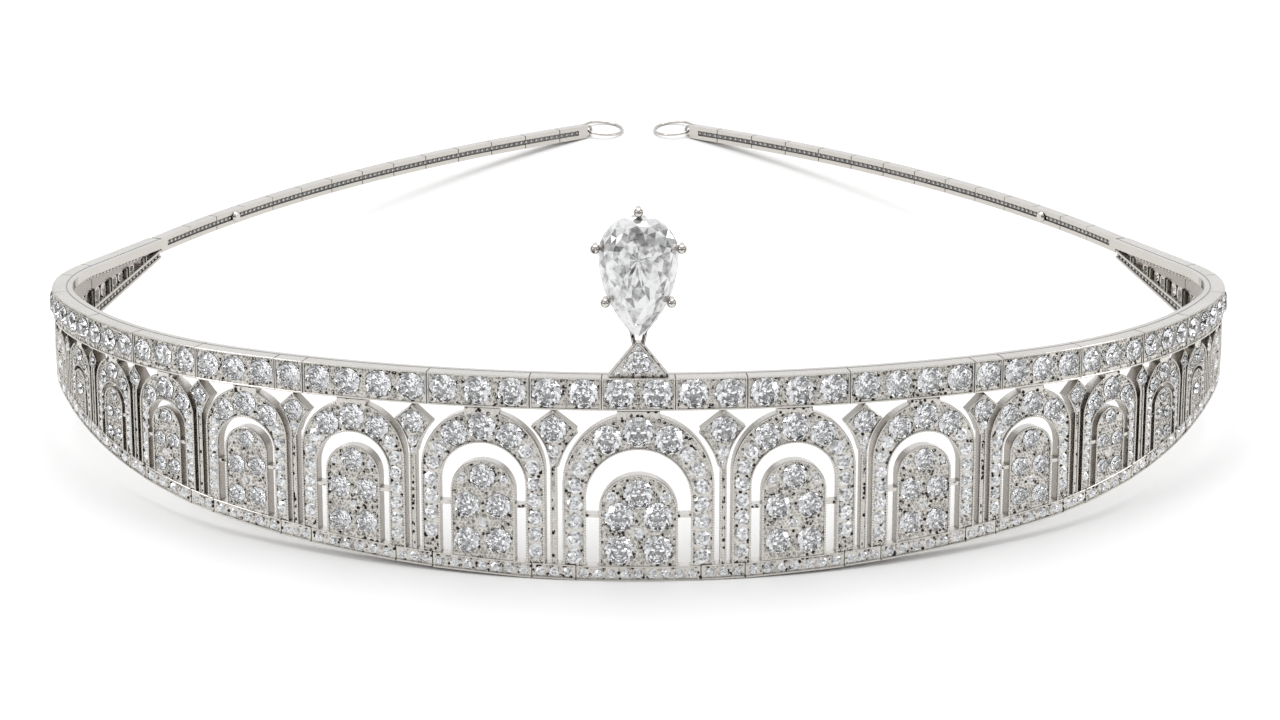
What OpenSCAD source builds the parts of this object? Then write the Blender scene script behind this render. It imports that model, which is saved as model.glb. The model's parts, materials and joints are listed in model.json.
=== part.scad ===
// Diadem: a pierced bandeau of diamond set arches with spear shaped uprights between them,
// a line of round stones along the top and one upright pear shaped stone at the centre.
// Millimetres. X runs to the wearer's left, Y to the back of the head, Z up.
// The wall is drawn standing upright with its top rim at Z = 0, then leaned back so that it
// rests on its front edge and on the ends of its two rear bands.

/* [Plan] */
// Radius of the front of the wall, seen from above
front_r = 125.5; // [115:0.5:135]
// Length of the front arc, from the middle to one side
front_len = 55.5; // [53:0.5:58]
// Radius of the shoulder between the front and the side
shoulder_r = 54.4; // [50:0.2:60]
// Length of the shoulder arc
shoulder_len = 39.1; // [37:0.1:41]
// Radius of the tight turn at the side
turn_r = 20.7; // [19:0.1:23]
// Radius of the long rear bands
rear_r = 189; // [170:1:230]
// Length of each rear band
rear_len = 99; // [85:1:105]
// Distance from the middle to the end of each rear band
rear_end_x = 9.5; // [8.5:0.1:12]
// Length of the plain corner where the top and the bottom band meet
corner_len = 6.1; // [5:0.1:7]

/* [Heights] */
// Height of the wall at the middle of the front
front_h = 27.75; // [26.5:0.05:30]
// Height of the wall where the rear bands begin
side_h = 2.94; // [2.8:0.02:3.1]
// Height of the top band
band_h = 4.44; // [4.3:0.02:4.7]
// Height of the bottom band
foot_h = 2.1; // [1.9:0.05:2.3]
// Height of the rear bands
rear_h = 2.1; // [2:0.05:2.3]

/* [Walls] */
// Thickness of the stone set top band
band_t = 1.75; // [1.7:0.05:2]
// Thickness of the arches and spears
panel_t = 1.5; // [1.45:0.05:1.8]
// Distance that the arches and spears are set back from the top band
panel_set = 0.12; // [0.08:0.02:0.2]
// Thickness of the rail inside the top rim
frame_t = 0.75; // [0.6:0.05:0.9]
// Height of the rail inside the top rim
frame_h = 1.2; // [1:0.05:1.4]
// Thickness of the rear bands
rear_t = 1.6; // [1.5:0.05:1.8]
// Gap between neighbouring links
link_gap = 0.12; // [0.1:0.01:0.16]
// Gap between the top band and the rail behind it
seam_gap = 0.13; // [0.1:0.01:0.16]

/* [Arches] */
// Distance from a spear's middle to the arch beside it
spear_share = 1.2; // [1.1:0.05:1.3]
// Width of the centre arch's legs
leg_w = 3.05; // [2.9:0.05:3.2]
// Height of the centre arch's crown above its opening
crown_w = 4.9; // [4.7:0.05:5]
// Half width of the flat tab that meets the top band
tab_w = 2.8; // [2.6:0.05:3]
// Height of that tab above the arch
tab_h = 0.3; // [0.25:0.05:0.4]
// Gap at each side of the centre arch's niche
niche_gap = 1.7; // [1.6:0.05:1.8]
// Thickness of the small bars that hold the niche
bar_h = 0.45; // [0.4:0.05:0.6]

/* [Spears] */
// Half width of the centre spears across their shoulders
shoulder_w = 3.1; // [2.9:0.05:3.2]
// Height of a spear's point above its shoulders
point_h = 2.45; // [2.3:0.05:2.6]
// Gap between a spear and the arch beside it
spear_gap = 0.75; // [0.65:0.05:0.8]
// Half width of a spear's stem
stem_w = 0.42; // [0.38:0.02:0.48]
// Part of the bays beside it that a spear's foot link takes
foot_share = 0.142; // [0.13:0.002:0.15]

/* [Stones] */
// Radius of a top band stone as a part of the distance to the next one
band_fill = 0.402; // [0.38:0.002:0.405]
// Depth of the top band stones' middles below the rim
band_stone_z = 2.1; // [2.05:0.05:2.2]
// Radius of the crown stones as a part of the crown's height
crown_fill = 0.4; // [0.38:0.01:0.41]
// Clearance around each stone in its seat
seat_gap = 0.05; // [0.04:0.01:0.08]
// Radius of the stone in each centre spear
spear_stone_r = 1.7; // [1.6:0.05:1.75]

/* [Pear stone] */
// Half width of the pear shaped stone
pear_w = 5.15; // [4.9:0.05:5.4]
// Height of the pear shaped stone
pear_h = 16.5; // [16:0.1:17]
// Height of the stone's point above the top rim
pear_z = 5.1; // [4.9:0.1:5.4]
// Depth of the stone behind its edge
pear_depth = 3.6; // [3.3:0.1:3.9]
// Radius of the round claw ends
claw_r = 0.62; // [0.58:0.02:0.66]

/* [Rear ends] */
// Radius of the end rings to the middle of the wire
ring_r = 3.2; // [3:0.05:3.3]
// Radius of the end ring's wire
ring_wire = 0.22; // [0.2:0.01:0.25]
// Radius of the eye that carries the end ring
eye_r = 0.75; // [0.7:0.05:0.8]
// Radius of the rivet heads
rivet_r = 0.8; // [0.7:0.05:0.85]

/* [Hidden] */
$fa = 1;
$fs = 0.2;
RIGHT = 1;
LEFT = -1;
// Steps to a full turn of the wall's large arcs
WALL_FN = 256;

// How the plan is made: columns are arc length, curvature and the bend before the arc
turn_len = 18.4;
side_len = 17.3;
A_LEN = 0;
A_CURVE = 1;
A_BEND = 2;
WALL_ARCS = [
    [front_len, 1 / front_r, 0],
    [shoulder_len, 1 / shoulder_r, 0],
    [turn_len, 1 / turn_r, 0],
    [side_len, 0, 0],
];
side_s = front_len + shoulder_len + turn_len;
join_s = side_s + side_len;
corner_s = side_s - corner_len;

// Share of the wall that each arch takes, in hundredths of the length from the centre to the corner
BAY_SHARES = [20.77, 17.49, 15.62, 13.47, 11.13, 9.45, 8.05, 7.11, 7.3];
bay_unit = corner_s / (sum_to(BAY_SHARES, len(BAY_SHARES)) - BAY_SHARES[0] / 2);
BAYS = [for (w = BAY_SHARES) w * bay_unit];
centre_bay = BAYS[0];
// Stones between the middle and each cut in the top band
CUTS = [1, 3, 6, 10, 11, 14, 17, 20, 24, 27];
stones_n = CUTS[len(CUTS) - 1];
// Part of the pitch that each stone of the top band loses to the one before it
fade_part = 0.0065;
band_pitch = corner_s / (stones_n - fade_part * stones_n * stones_n);
pitch_fade = fade_part * band_pitch;
// How much the bottom edge bows on its way up to the side
bottom_bow = 0.064;
bays_n = len(BAYS) - 1;

// Point and heading reached by running along one arc from a point
function run_arc(p, curve, l) = abs(curve) < 0.0001 ?
    [p[0] + l * cos(p[2]), p[1] + l * sin(p[2]), p[2]] :
    let (t = p[2] + l * curve * 180 / PI)
    [p[0] + (sin(t) - sin(p[2])) / curve, p[1] - (cos(t) - cos(p[2])) / curve, t];
// Point and heading reached by running a length s along a table of arcs
function along(arcs, s, i = 0, p = [0, 0, 0]) =
    let (q = [p[0], p[1], p[2] + arcs[i][A_BEND]])
    i == len(arcs) - 1 || s <= arcs[i][A_LEN] ? run_arc(q, arcs[i][A_CURVE], s) :
    along(arcs, s - arcs[i][A_LEN], i + 1, run_arc(q, arcs[i][A_CURVE], arcs[i][A_LEN]));
// The rear bands turn in at the end of the wall until their ends lie rear_end_x from the middle
wall_end = along(WALL_ARCS, join_s);
rear_angle = rear_len / rear_r * 180 / PI;
rear_chord = 2 * rear_r * sin(rear_angle / 2);
join_bend = acos((rear_end_x - wall_end[0]) / rear_chord) - rear_angle / 2 - wall_end[2];
ARCS = concat(WALL_ARCS, [[rear_len, 1 / rear_r, join_bend]]);
// Point and heading of the outer face at length s from the middle of the front
function plan(s) = along(ARCS, s);
// Mean curvature of the wall between two lengths
function bend(s0, s1) = (plan(s1)[2] - plan(s0)[2]) * PI / 180 / (s1 - s0);

function sum_to(v, n) = n <= 0 ? 0 : v[n - 1] + sum_to(v, n - 1);
// Length at which spear k stands, and at the middle of bay k
function spear_s(k) = centre_bay / 2 + sum_to(BAYS, k) - centre_bay;
function bay_s(k) = k == 0 ? 0 : (spear_s(k) + spear_s(k + 1)) / 2;
// Length at which n stones of the top band have passed
function band_s(n) = band_pitch * n - pitch_fade * n * n;
// Height of the bottom edge at length s, and its slope
join_y = wall_end[1];
function floor_z(s) = let (t = plan(s)[1] / join_y)
    -front_h + (front_h - side_h) * ((1 + bottom_bow) * t - bottom_bow * t * t);
function floor_slope(s) = floor_z(s + 0.5) - floor_z(s - 0.5);

end_s = join_s + rear_len;

// Sizes of arch k, worked out from its bay
function grade(k) = arch_a(k) / arch_a(0);
function arch_a(k) = BAYS[k] / 2 - spear_share * (0.65 + 0.35 * BAYS[k] / centre_bay);
function arch_top() = -band_h - link_gap;
function crown_h(k) = crown_w * (1 + grade(k)) / 2;
function arch_cz(k) = arch_top() - tab_h * (1 + grade(k)) / 2 - arch_a(k);
function open_w(k) = arch_a(k) - leg_w * grade(k);
function open_top(k) = arch_cz(k) + arch_a(k) - crown_h(k);
function niche_w(k) = open_w(k) - niche_gap * grade(k);
function niche_top(k) = open_top(k) - 3.35 * grade(k) * grade(k);
function foot_top(k) = floor_z(bay_s(k)) + foot_h;
function niche_h(k) = niche_top(k) - foot_top(k);
// Arches with a niche
NICHED = 7;
function has_niche(k) = k <= NICHED;
function foot_half(k) = foot_share * (BAYS[k - 1] + BAYS[min(k, bays_n)]) / 2;

// Stones: each row is distance along the wall, height and radius
function crown_arm(k) = arch_a(k) - crown_h(k) / 2;
function crown_r(k) = min(crown_fill * crown_h(k), 0.5 * crown_arm(k));
function crown_turn(k) = 2 * asin(min(0.95, (2 * crown_r(k) + 0.22) / (2 * crown_arm(k))));
// Radius of the opening's edge at angle t from upright, seen from the middle of the arch
function open_ring(k, t) = let (d = crown_h(k) - leg_w * grade(k))
    -d * cos(t) + sqrt(open_w(k) * open_w(k) - d * d * sin(t) * sin(t));
function side_arm(k) = (arch_a(k) + open_ring(k, crown_turn(k))) / 2;
function side_r(k) = min(crown_r(k), crown_fill * (arch_a(k) - open_ring(k, crown_turn(k))),
    side_arm(k) * cos(crown_turn(k)) - 0.12);
function crown_stones(k) = concat(
    [[0, arch_cz(k) + crown_arm(k), crown_r(k)]],
    [for (i = [-1, 1])
        [side_arm(k) * sin(i * crown_turn(k)), arch_cz(k) + side_arm(k) * cos(crown_turn(k)), side_r(k)]]);
function niche_r(k) = let (w = niche_w(k), h = niche_h(k))
    min(0.38 * w, 0.15 * h, norm([0.49 * w, 0.46 * h - 0.52 * w]) / 2 - 0.08);
function niche_stones(k) = let (w = niche_w(k), h = niche_h(k), t = niche_top(k), r = niche_r(k))
    k >= 6 ? [[0, t - 0.5 * h, min(0.5 * w, 0.3 * h)]] :
    [[0, t - 0.52 * w, r],
    for (i = [-1, 1]) [i * 0.49 * w, t - 0.46 * h, r],
    for (i = [-1, 1]) [i * 0.49 * w, t - 0.82 * h, r]];
// Arches with their own stones here
STONED = 6;

// Sizes of spear k
function spear_grade(k) = (BAYS[k - 1] + BAYS[min(k, bays_n)]) / (BAYS[0] + BAYS[1]);
function spear_arm(k) = spear_share * (0.65 + 0.35 * BAYS[k] / centre_bay);

// Heights of the top and the bottom band where the rear bands begin
side_top = 1.25;
side_foot = 1.5;

// Rear bands: depth of the outer face, cuts, groove, end cap, eye wire and the rivet's place
rear_in = 0.3;
rear_cut = 0.14;
rear_step = 7.1;
end_cap = 1.8;
first_cut = 8;
groove_w = 0.8;
groove_d = 0.3;
cut_up = 1.4;
eye_wire = 0.22;
rivet_at = 20;

// Leaning: the rest plane runs from the front edge to the rear ends
rear_y = plan(end_s)[1];
end_flat = 0.2;
rest_slope = (front_h - rear_h + end_flat) / rear_y;
lean = atan(rest_slope);
end_turn = plan(end_s)[2];
// Place of an end ring's hinge, and how far the ring droops until its far side comes to rest
hinge_y = rear_y + cos(end_turn) * (rear_in + rear_t / 2) + sin(end_turn) * (eye_r - eye_wire);
hinge_up = (front_h - rear_h / 2) * cos(lean) - hinge_y * sin(lean);
ring_lift = 0.02;
ring_droop = asin((hinge_up - ring_wire - ring_lift) / (2 * ring_r));
// Rearmost point of an end ring at rest, and the shift that centres the whole from front to back
ring_tip = sin(ring_droop) * sin(end_turn);
ring_back = hinge_y * cos(lean) - rear_h / 2 * sin(lean) + sin(end_turn) * cos(ring_droop) * ring_r
    + ring_r * sqrt(1 - ring_tip * ring_tip) + ring_wire;
shift_y = -(ring_back + panel_set * cos(lean) - front_h * sin(lean)) / 2;

// Turns the upright wall into its resting place
module rest_pose() {
    translate([0, shift_y, front_h * cos(lean)])
        rotate([-lean, 0, 0])
            children();
}

// Longer than the diadem is in any direction
far = front_r + rear_len;

// Everything below the surface that the diadem rests on
module below_rest() {
    translate([0, 0, -front_h])
        rotate([lean, 0, 0])
            translate([-far, -far, -far])
                cube([2 * far, 3 * far, far]);
}

// Local frame on the outer face: X along the wall, Y inward, Z up
module on_wall(s, side) {
    p = plan(s);
    translate([side * p[0], p[1], 0])
        rotate([0, 0, side * p[2]])
            children();
}

// A stretch of wall of length w and curvature c between two depths and two heights
module stretch(w, c, d0, d1, z0, z1) {
    if (c > 0.002) {
        r = 1 / c;
        half = w / 2 * c * 180 / PI;
        translate([0, r, 0])
            rotate([0, 0, -90 - half])
                rotate_extrude(angle = 2 * half, $fn = WALL_FN)
                    translate([r - d1, z0])
                        square([d1 - d0, z1 - z0]);
    } else {
        translate([-w / 2, d0, z0])
            cube([w, d1 - d0, z1 - z0]);
    }
}

// How far a cut starts before the wall, and how deep it goes
past = 1;
deep = 6;

// Outline drawn along the wall, pushed through it
module through(d0, d1) {
    translate([0, d1, 0])
        rotate([90, 0, 0])
            linear_extrude(d1 - d0)
                children();
}

// Place on a face at depth d, with Z pointing out of the wall
module on_face(c, u, z, d) {
    if (c > 0.002) {
        translate([0, 1 / c, 0])
            rotate([0, 0, u * c * 180 / PI])
                translate([0, d - 1 / c, z])
                    rotate([90, 0, 0])
                        children();
    } else {
        translate([u, d, z])
            rotate([90, 0, 0])
                children();
    }
}

girdle = 0.06;
crown_part = 0.3;
pavilion_part = 0.7;
seat_part = 0.8;
table_part = 0.56;

// Recess that a round stone sits in
module seat(r) {
    g = girdle * r;
    rotate([0, 0, 90])
        rotate_extrude()
            polygon([[0, 0.7], [r + seat_gap, 0.7], [r + seat_gap, -g],
                [0.1 * r, -g - seat_part * r], [0, -g - seat_part * r]]);
}

// Recess with an open back
module open_seat(r) {
    g = girdle * r;
    rotate_extrude()
        polygon([[0, 0.7], [r + seat_gap, 0.7], [r + seat_gap, -g],
            [0.35 * r, -g - 0.62 * r], [0.35 * r, -3], [0, -3]]);
}

// Round cut stone: table, sixteen crown facets, girdle and eight pavilion facets
module round_stone(r) {
    n = 8;
    g = girdle * r;
    step = 360 / n;
    t = table_part * r;
    top = [for (i = [0:n - 1]) [t * cos(step * (i + 0.5)), t * sin(step * (i + 0.5)), crown_part * r]];
    rim = [for (i = [0:n - 1]) [r * cos(step * i), r * sin(step * i), 0]];
    low = [for (i = [0:n - 1]) [r * cos(step * i), r * sin(step * i), -g]];
    polyhedron(
        points = concat(top, rim, low, [[0, 0, -g - pavilion_part * r]]),
        faces = concat(
            [[for (i = [n - 1:-1:0]) i]],
            [for (i = [0:n - 1]) [i, (i + 1) % n, n + (i + 1) % n]],
            [for (i = [0:n - 1]) [n + i, i, n + (i + 1) % n]],
            [for (i = [0:n - 1]) [n + i, n + (i + 1) % n, 2 * n + (i + 1) % n, 2 * n + i]],
            [for (i = [0:n - 1]) [2 * n + i, 2 * n + (i + 1) % n, 3 * n]]));
}

// Legs, crown and bottom band of arch k, before its opening and the room for its neighbours are cut
module arch_block(k, side) {
    a = arch_a(k);
    cz = arch_cz(k);
    zf = floor_z(bay_s(k));
    m = k == 0 ? 0 : side * floor_slope(bay_s(k));
    through(-past, deep) translate([0, cz]) rotate(-90) circle(r = a);
    through(-past, deep) polygon([[-a, zf - m * a], [a, zf + m * a], [a, cz], [-a, cz]]);
    through(-past, deep) translate([-tab_w * grade(k), cz]) square([2 * tab_w * grade(k), arch_top() - cz]);
}

// Room for the foot link of spear k, with the links' gap beside and above it
module foot_room(k, side) {
    zf = floor_z(spear_s(k));
    m = side * floor_slope(spear_s(k));
    w = foot_half(k) + link_gap / 2;
    top = zf + foot_h + link_gap;
    on_wall(spear_s(k), side)
        through(-past, deep)
            polygon([[-w, zf - m * w - past], [w, zf + m * w - past], [w, top + m * w], [-w, top - m * w]]);
}

// Opening of arch k
module arch_opening(k, side) {
    w = open_w(k);
    zf = floor_z(bay_s(k)) + foot_h;
    m = k == 0 ? 0 : side * floor_slope(bay_s(k));
    through(-2 * past, deep + past) translate([0, open_top(k) - w]) rotate(-90) circle(r = w);
    through(-2 * past, deep + past)
        polygon([[-w, zf - m * w], [w, zf + m * w], [w, open_top(k) - w], [-w, open_top(k) - w]]);
}

// Niche of arch k and the bars that hold it
module arch_niche(k, side) {
    w = niche_w(k);
    zf = floor_z(bay_s(k)) + foot_h / 2;
    m = k == 0 ? 0 : side * floor_slope(bay_s(k));
    z = niche_top(k) - 0.47 * niche_h(k);
    through(-past, deep) translate([0, niche_top(k) - w]) rotate(-90) circle(r = w);
    through(-past, deep)
        polygon([[-w, zf - m * w], [w, zf + m * w], [w, niche_top(k) - w], [-w, niche_top(k) - w]]);
    through(-past, deep) translate([-open_w(k) - 0.2, z]) square([2 * open_w(k) + 0.4, bar_h]);
}

// Arch panel k
module arch(k, side) {
    c = k == 0 ? 1 / front_r : bend(spear_s(k), spear_s(k + 1));
    difference() {
        on_wall(bay_s(k), side)
            difference() {
                intersection() {
                    stretch(BAYS[k], c, panel_set, panel_set + panel_t, -2 * front_h, past);
                    union() {
                        difference() {
                            arch_block(k, side);
                            arch_opening(k, side);
                        }
                        if (has_niche(k)) arch_niche(k, side);
                    }
                }
                if (k <= STONED) {
                    for (p = concat(crown_stones(k), has_niche(k) ? niche_stones(k) : []))
                        on_face(c, p[0], p[1], panel_set) seat(p[2]);
                }
            }
        foot_room(k + 1, side);
        foot_room(max(k, 1), k == 0 ? -side : side);
        if (k <= 1) below_rest();
    }
}

// Spear k, between arch k - 1 and arch k: head, stem and foot link
module spear_block(k, side) {
    g = spear_grade(k);
    top = arch_top();
    zf = floor_z(spear_s(k));
    m = side * floor_slope(spear_s(k));
    w = foot_half(k) - link_gap / 2;
    next = min(k, bays_n);
    z0 = arch_cz(k - 1);
    z1 = arch_cz(next);
    neck = max(z0, z1) + 1;
    through(-past, deep)
        difference() {
            polygon([[0, top], [shoulder_w * g, top - point_h * (1 + g) / 2], [shoulder_w * g * 0.6, neck],
                [-shoulder_w * g * 0.6, neck], [-shoulder_w * g, top - point_h * (1 + g) / 2]]);
            translate([-side * (spear_arm(k - 1) + arch_a(k - 1)), z0]) circle(r = arch_a(k - 1) + spear_gap);
            translate([side * (spear_arm(next) + arch_a(next)), z1]) circle(r = arch_a(next) + spear_gap);
        }
    through(-past, deep)
        polygon([[-stem_w * 0.9, zf + foot_h / 2], [stem_w * 0.9, zf + foot_h / 2], [stem_w, neck],
            [0, neck + point_h / 2], [-stem_w, neck]]);
    through(-past, deep)
        polygon([[-w, zf - m * w], [w, zf + m * w], [w, zf + m * w + foot_h], [-w, zf - m * w + foot_h]]);
}

function spear_stone_z(k) = arch_top() - 0.88 * point_h * (1 + spear_grade(k)) / 2 - 0.35;
function spear_r(k) = spear_stone_r * spear_grade(k);
function spear_bend(k) = bend(spear_s(k) - shoulder_w, spear_s(k) + shoulder_w);

module spear(k, side) {
    s = spear_s(k);
    c = spear_bend(k);
    difference() {
        on_wall(s, side)
            difference() {
                intersection() {
                    stretch(2.2 * shoulder_w, c, panel_set, panel_set + panel_t, -2 * front_h, past);
                    spear_block(k, side);
                }
                if (k <= STONED)
                    on_face(c, 0, spear_stone_z(k), panel_set) seat(spear_r(k));
            }
        if (k == 1) below_rest();
    }
}

// One link of the top band, between two cuts
module band_link(n0, n1, side) {
    s0 = band_s(n0);
    s1 = band_s(n1);
    s = (s0 + s1) / 2;
    c = bend(s0, s1);
    on_wall(s, side)
        difference() {
            stretch(s1 - s0 - link_gap, c, 0, band_t, -band_h, 0);
            for (n = [n0:n1 - 1])
                on_face(c, side * (band_s(n + 0.5) - s), -band_stone_z, 0) open_seat(stone_r(n));
        }
}

function stone_r(n) = band_fill * (band_pitch - pitch_fade * (2 * n + 1));

module band(side) {
    for (i = [0:len(CUTS) - 2]) band_link(CUTS[i], CUTS[i + 1], side);
}

// Wall at the turn, where the top band and the bottom band come together
post_part = 0.14;
function taper_h(s) = band_h - (band_h - side_top) * (s - corner_s) / (join_s - corner_s);
function taper_foot(s) = foot_h - (foot_h - side_foot) * (s - corner_s) / (join_s - corner_s);

// Windows between the two bands, for a stretch from s0 to s1 with its middle at s
module window(s0, s1, s, side) {
    polygon([
        [side * (s0 - s), floor_z(s0) + taper_foot(s0)],
        [side * (s1 - s), floor_z(s1) + taper_foot(s1)],
        [side * (s1 - s), -taper_h(s1)],
        [side * (s0 - s), -taper_h(s0)]]);
}

// Part of the wall from s0 to s1 with evenly spaced posts and a window in front of some of them
module turn_plate(s0, s1, side, posts, windows) {
    s = (s0 + s1) / 2;
    step = (s1 - s0) / posts;
    c = abs(bend(s0 + 0.1, s1 - 0.1)) < 0.002 ? 0 : bend(s0, s1);
    on_wall(s, side)
        intersection() {
            stretch(s1 - s0 - link_gap, c, 0, band_t, -front_h, 0);
            through(-past, deep)
                difference() {
                    polygon([
                        [side * (s0 - s - past), floor_z(s0 - past)],
                        [side * (s1 - s + past), floor_z(s1 + past)],
                        [side * (s1 - s + past), past], [side * (s0 - s - past), past]]);
                    for (i = [0:windows - 1])
                        window(s0 + step * (i + post_part), s0 + step * (i + 1 - post_part), s, side);
                }
        }
}

// Rail behind the top rim, in three bars that follow the wall in short straight steps
rail_step = 1.6;
rail_n = ceil((join_s - link_gap) / rail_step);
function rail_point(i, d) =
    let (p = plan(abs(i) * (join_s - link_gap) / rail_n))
    [sign(i) * (p[0] - d * sin(p[2])), p[1] + d * cos(p[2])];

// Number of stones between the middle and the ends of the centre bar, and the step at which it ends
rail_stones = 14;
rail_end = band_s(rail_stones) * rail_n / (join_s - link_gap);
rail_gap = link_gap / 2 / rail_step;
function rail_steps(a, b) = concat([a], [for (i = [ceil(a + 0.2):floor(b - 0.2)]) i], [b]);

// One bar, from step a to step b
module rail(a, b) {
    steps = rail_steps(a, b);
    translate([0, 0, -frame_h])
        linear_extrude(frame_h)
            polygon(concat(
                [for (i = steps) rail_point(i, band_t + seam_gap)],
                [for (i = [len(steps) - 1:-1:0]) rail_point(steps[i], band_t + seam_gap + frame_t)]));
}

// Rear band: a bar with a groove along its inner face, fine cuts and an eye at its end

module rear_band(side) {
    s = join_s + link_gap + (rear_len - link_gap) / 2;
    w = rear_len - link_gap;
    c = 1 / rear_r;
    difference() {
        union() {
            on_wall(s, side)
                difference() {
                    stretch(w, c, rear_in, rear_in + rear_t, -rear_h, 0);
                    stretch(w - 2 * end_cap, c, rear_in + rear_t - groove_d, rear_in + rear_t + 1,
                        -rear_h / 2 - groove_w / 2, -rear_h / 2 + groove_w / 2);
                    for (l = [first_cut:rear_step:rear_len - end_cap])
                        on_face(c, side * (l - w / 2), -rear_h / 2, rear_in + rear_t)
                            translate([-rear_cut / 2, -rear_h, 0]) cube([rear_cut, 2 * rear_h, cut_up]);
                    on_face(c, side * (rivet_at - w / 2), -rear_h / 2, rear_in + rear_t)
                        cylinder(r = rivet_r / 2 + seat_gap, h = 4, center = true);
                }
            on_wall(end_s, side)
                translate([side * (eye_r - eye_wire), rear_in + rear_t / 2, -rear_h / 2])
                    rotate([90, 0, 0])
                        rotate_extrude()
                            translate([eye_r, 0]) circle(r = eye_wire);
        }
        below_rest();
    }
}

module rivet(side) {
    s = join_s + link_gap + (rear_len - link_gap) / 2;
    w = rear_len - link_gap;
    c = 1 / rear_r;
    on_wall(s, side)
        on_face(c, side * (rivet_at - w / 2), -rear_h / 2, rear_in + rear_t + seat_gap)
            rotate([180, 0, 0]) {
                cylinder(r1 = rivet_r, r2 = rivet_r * 0.7, h = 0.4);
                translate([0, 0, -rear_t]) cylinder(r = rivet_r / 2, h = rear_t + 0.2);
            }
}

// Turns what is level in the leaning wall's place into what is level at rest
module level(side) {
    rotate([0, 0, -side * end_turn])
        rotate([lean, 0, 0])
            rotate([0, 0, side * end_turn])
                children();
}

// End ring: held up by its eye, with its far side on the resting surface
module end_ring(side) {
    on_wall(end_s, side)
        translate([side * (eye_r - eye_wire), rear_in + rear_t / 2, -rear_h / 2])
            level(side)
                rotate([0, side * ring_droop, 0])
                    translate([side * ring_r, 0, 0])
                        rotate_extrude()
                            translate([ring_r, 0]) circle(r = ring_wire);
}

// Pear outline: a half circle over two side arcs that meet at the point
pear_cz = pear_z + pear_h - pear_w;
pear_side = (pear_w * pear_w + (pear_cz - pear_z) * (pear_cz - pear_z)) / (2 * pear_w);
pear_y = 0.3;
// How far two joined outlines run into each other
lap = 0.1;

module pear_shape(d) {
    intersection() {
        translate([0, pear_cz]) circle(r = pear_w - d);
        translate([-pear_h, pear_cz]) square([2 * pear_h, pear_h]);
    }
    intersection() {
        translate([pear_w - pear_side, pear_cz]) circle(r = pear_side - d);
        translate([pear_side - pear_w, pear_cz]) circle(r = pear_side - d);
        translate([-pear_h, pear_cz - 2 * pear_h]) square([2 * pear_h, 2 * pear_h + lap]);
    }
}

// Point on the pear's edge: a from 0 at the point to 1 at the widest place
function pear_low(a) = let (t = asin((pear_cz - pear_z) / pear_side) * (1 - a))
    [pear_w - pear_side + pear_side * cos(t), pear_cz - pear_side * sin(t)];
PEAR_EDGE = concat(
    [[0, pear_z]],
    [for (a = [0.17:0.166:0.9]) pear_low(a)],
    [for (t = [0:22.5:180]) [pear_w * cos(t), pear_cz + pear_w * sin(t)]],
    [for (a = [0.834:-0.166:0.1]) [-pear_low(a)[0], pear_low(a)[1]]]);
pear_mid = [0, pear_cz - 0.6];

function pear_ring(f, y) = [for (p = PEAR_EDGE)
    [pear_mid[0] + f * (p[0] - pear_mid[0]), y, pear_mid[1] + f * (p[1] - pear_mid[1])]];

module pear_stone() {
    n = len(PEAR_EDGE);
    g = 0.25;
    polyhedron(
        points = concat(pear_ring(0.55, pear_y - 1.35), pear_ring(0.8, pear_y - 0.9), pear_ring(1, pear_y),
            pear_ring(1, pear_y + g), [[pear_mid[0], pear_y + g + pear_depth, pear_mid[1]]]),
        faces = concat(
            [[for (i = [0:n - 1]) i]],
            [for (j = [0:2]) for (i = [0:n - 1])
                [j * n + i, (j + 1) * n + i, (j + 1) * n + (i + 1) % n, j * n + (i + 1) % n]],
            [for (i = [0:n - 1]) [3 * n + i, 4 * n, 3 * n + (i + 1) % n]]));
}

claw_out = 0.44;
claw_shaft = 0.32;
claw_fore = 0.62;
lug_y = 1.75;
lug_in = 0.9;
shaft_len = lug_y + claw_shaft;

// Claw at angle t about a centre, r from it, with a lug to the gallery rail
module claw(cx, cz, t, r) {
    translate([cx, 0, cz])
        rotate([0, -t, 0]) {
            translate([r + claw_out, pear_y - claw_fore, 0])
                rotate([90, 0, 0]) {
                    sphere(r = claw_r);
                    translate([0, 0, pear_y - claw_fore - shaft_len]) cylinder(r = claw_shaft, h = shaft_len);
                }
            translate([r - lug_in, lug_y, 0])
                rotate([0, 90, 0]) cylinder(r = claw_shaft * 0.9, h = lug_in + claw_out);
        }
}

plate_h = 4.7;
plate_w = 3.85;
plate_y = 0.35;
plate_t = 1.1;
plate_edge = 0.35;
plate_stone_r = 1.5;
wire_r = 0.28;
wire_len = 4.2;
plate_stone_z = 1.95;
side_claw = asin((pear_cz - 10.3) / pear_side);

module setting() {
    stretch(2 * band_s(1) - link_gap, 1 / front_r, 0, band_t, -band_h, 0);
    difference() {
        through(plate_y, plate_y + plate_t)
            polygon([[-plate_w, -plate_edge], [plate_w, -plate_edge], [plate_w, plate_edge], [plate_edge, plate_h],
                [-plate_edge, plate_h], [-plate_w, plate_edge]]);
        translate([0, plate_y, plate_stone_z]) rotate([90, 0, 0]) plate_seat();
    }
    difference() {
        through(lug_y - 0.35, lug_y + 0.35) pear_shape(0.45);
        through(lug_y - 1, lug_y + 1) pear_shape(1.05);
    }
    claw(0, pear_cz, 90, pear_w);
    claw(0, pear_cz, 8, pear_w);
    claw(0, pear_cz, 172, pear_w);
    claw(pear_w - pear_side, pear_cz, -side_claw, pear_side);
    claw(pear_side - pear_w, pear_cz, 180 + side_claw, pear_side);
    // wires from the plate to the gallery rail
    for (x = [-1, 1])
        translate([x * (plate_edge + lap), plate_y + plate_t - wire_r, plate_h - 4 * wire_r])
            rotate([-8, x * 11, 0]) cylinder(r = wire_r, h = wire_len);
}

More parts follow.
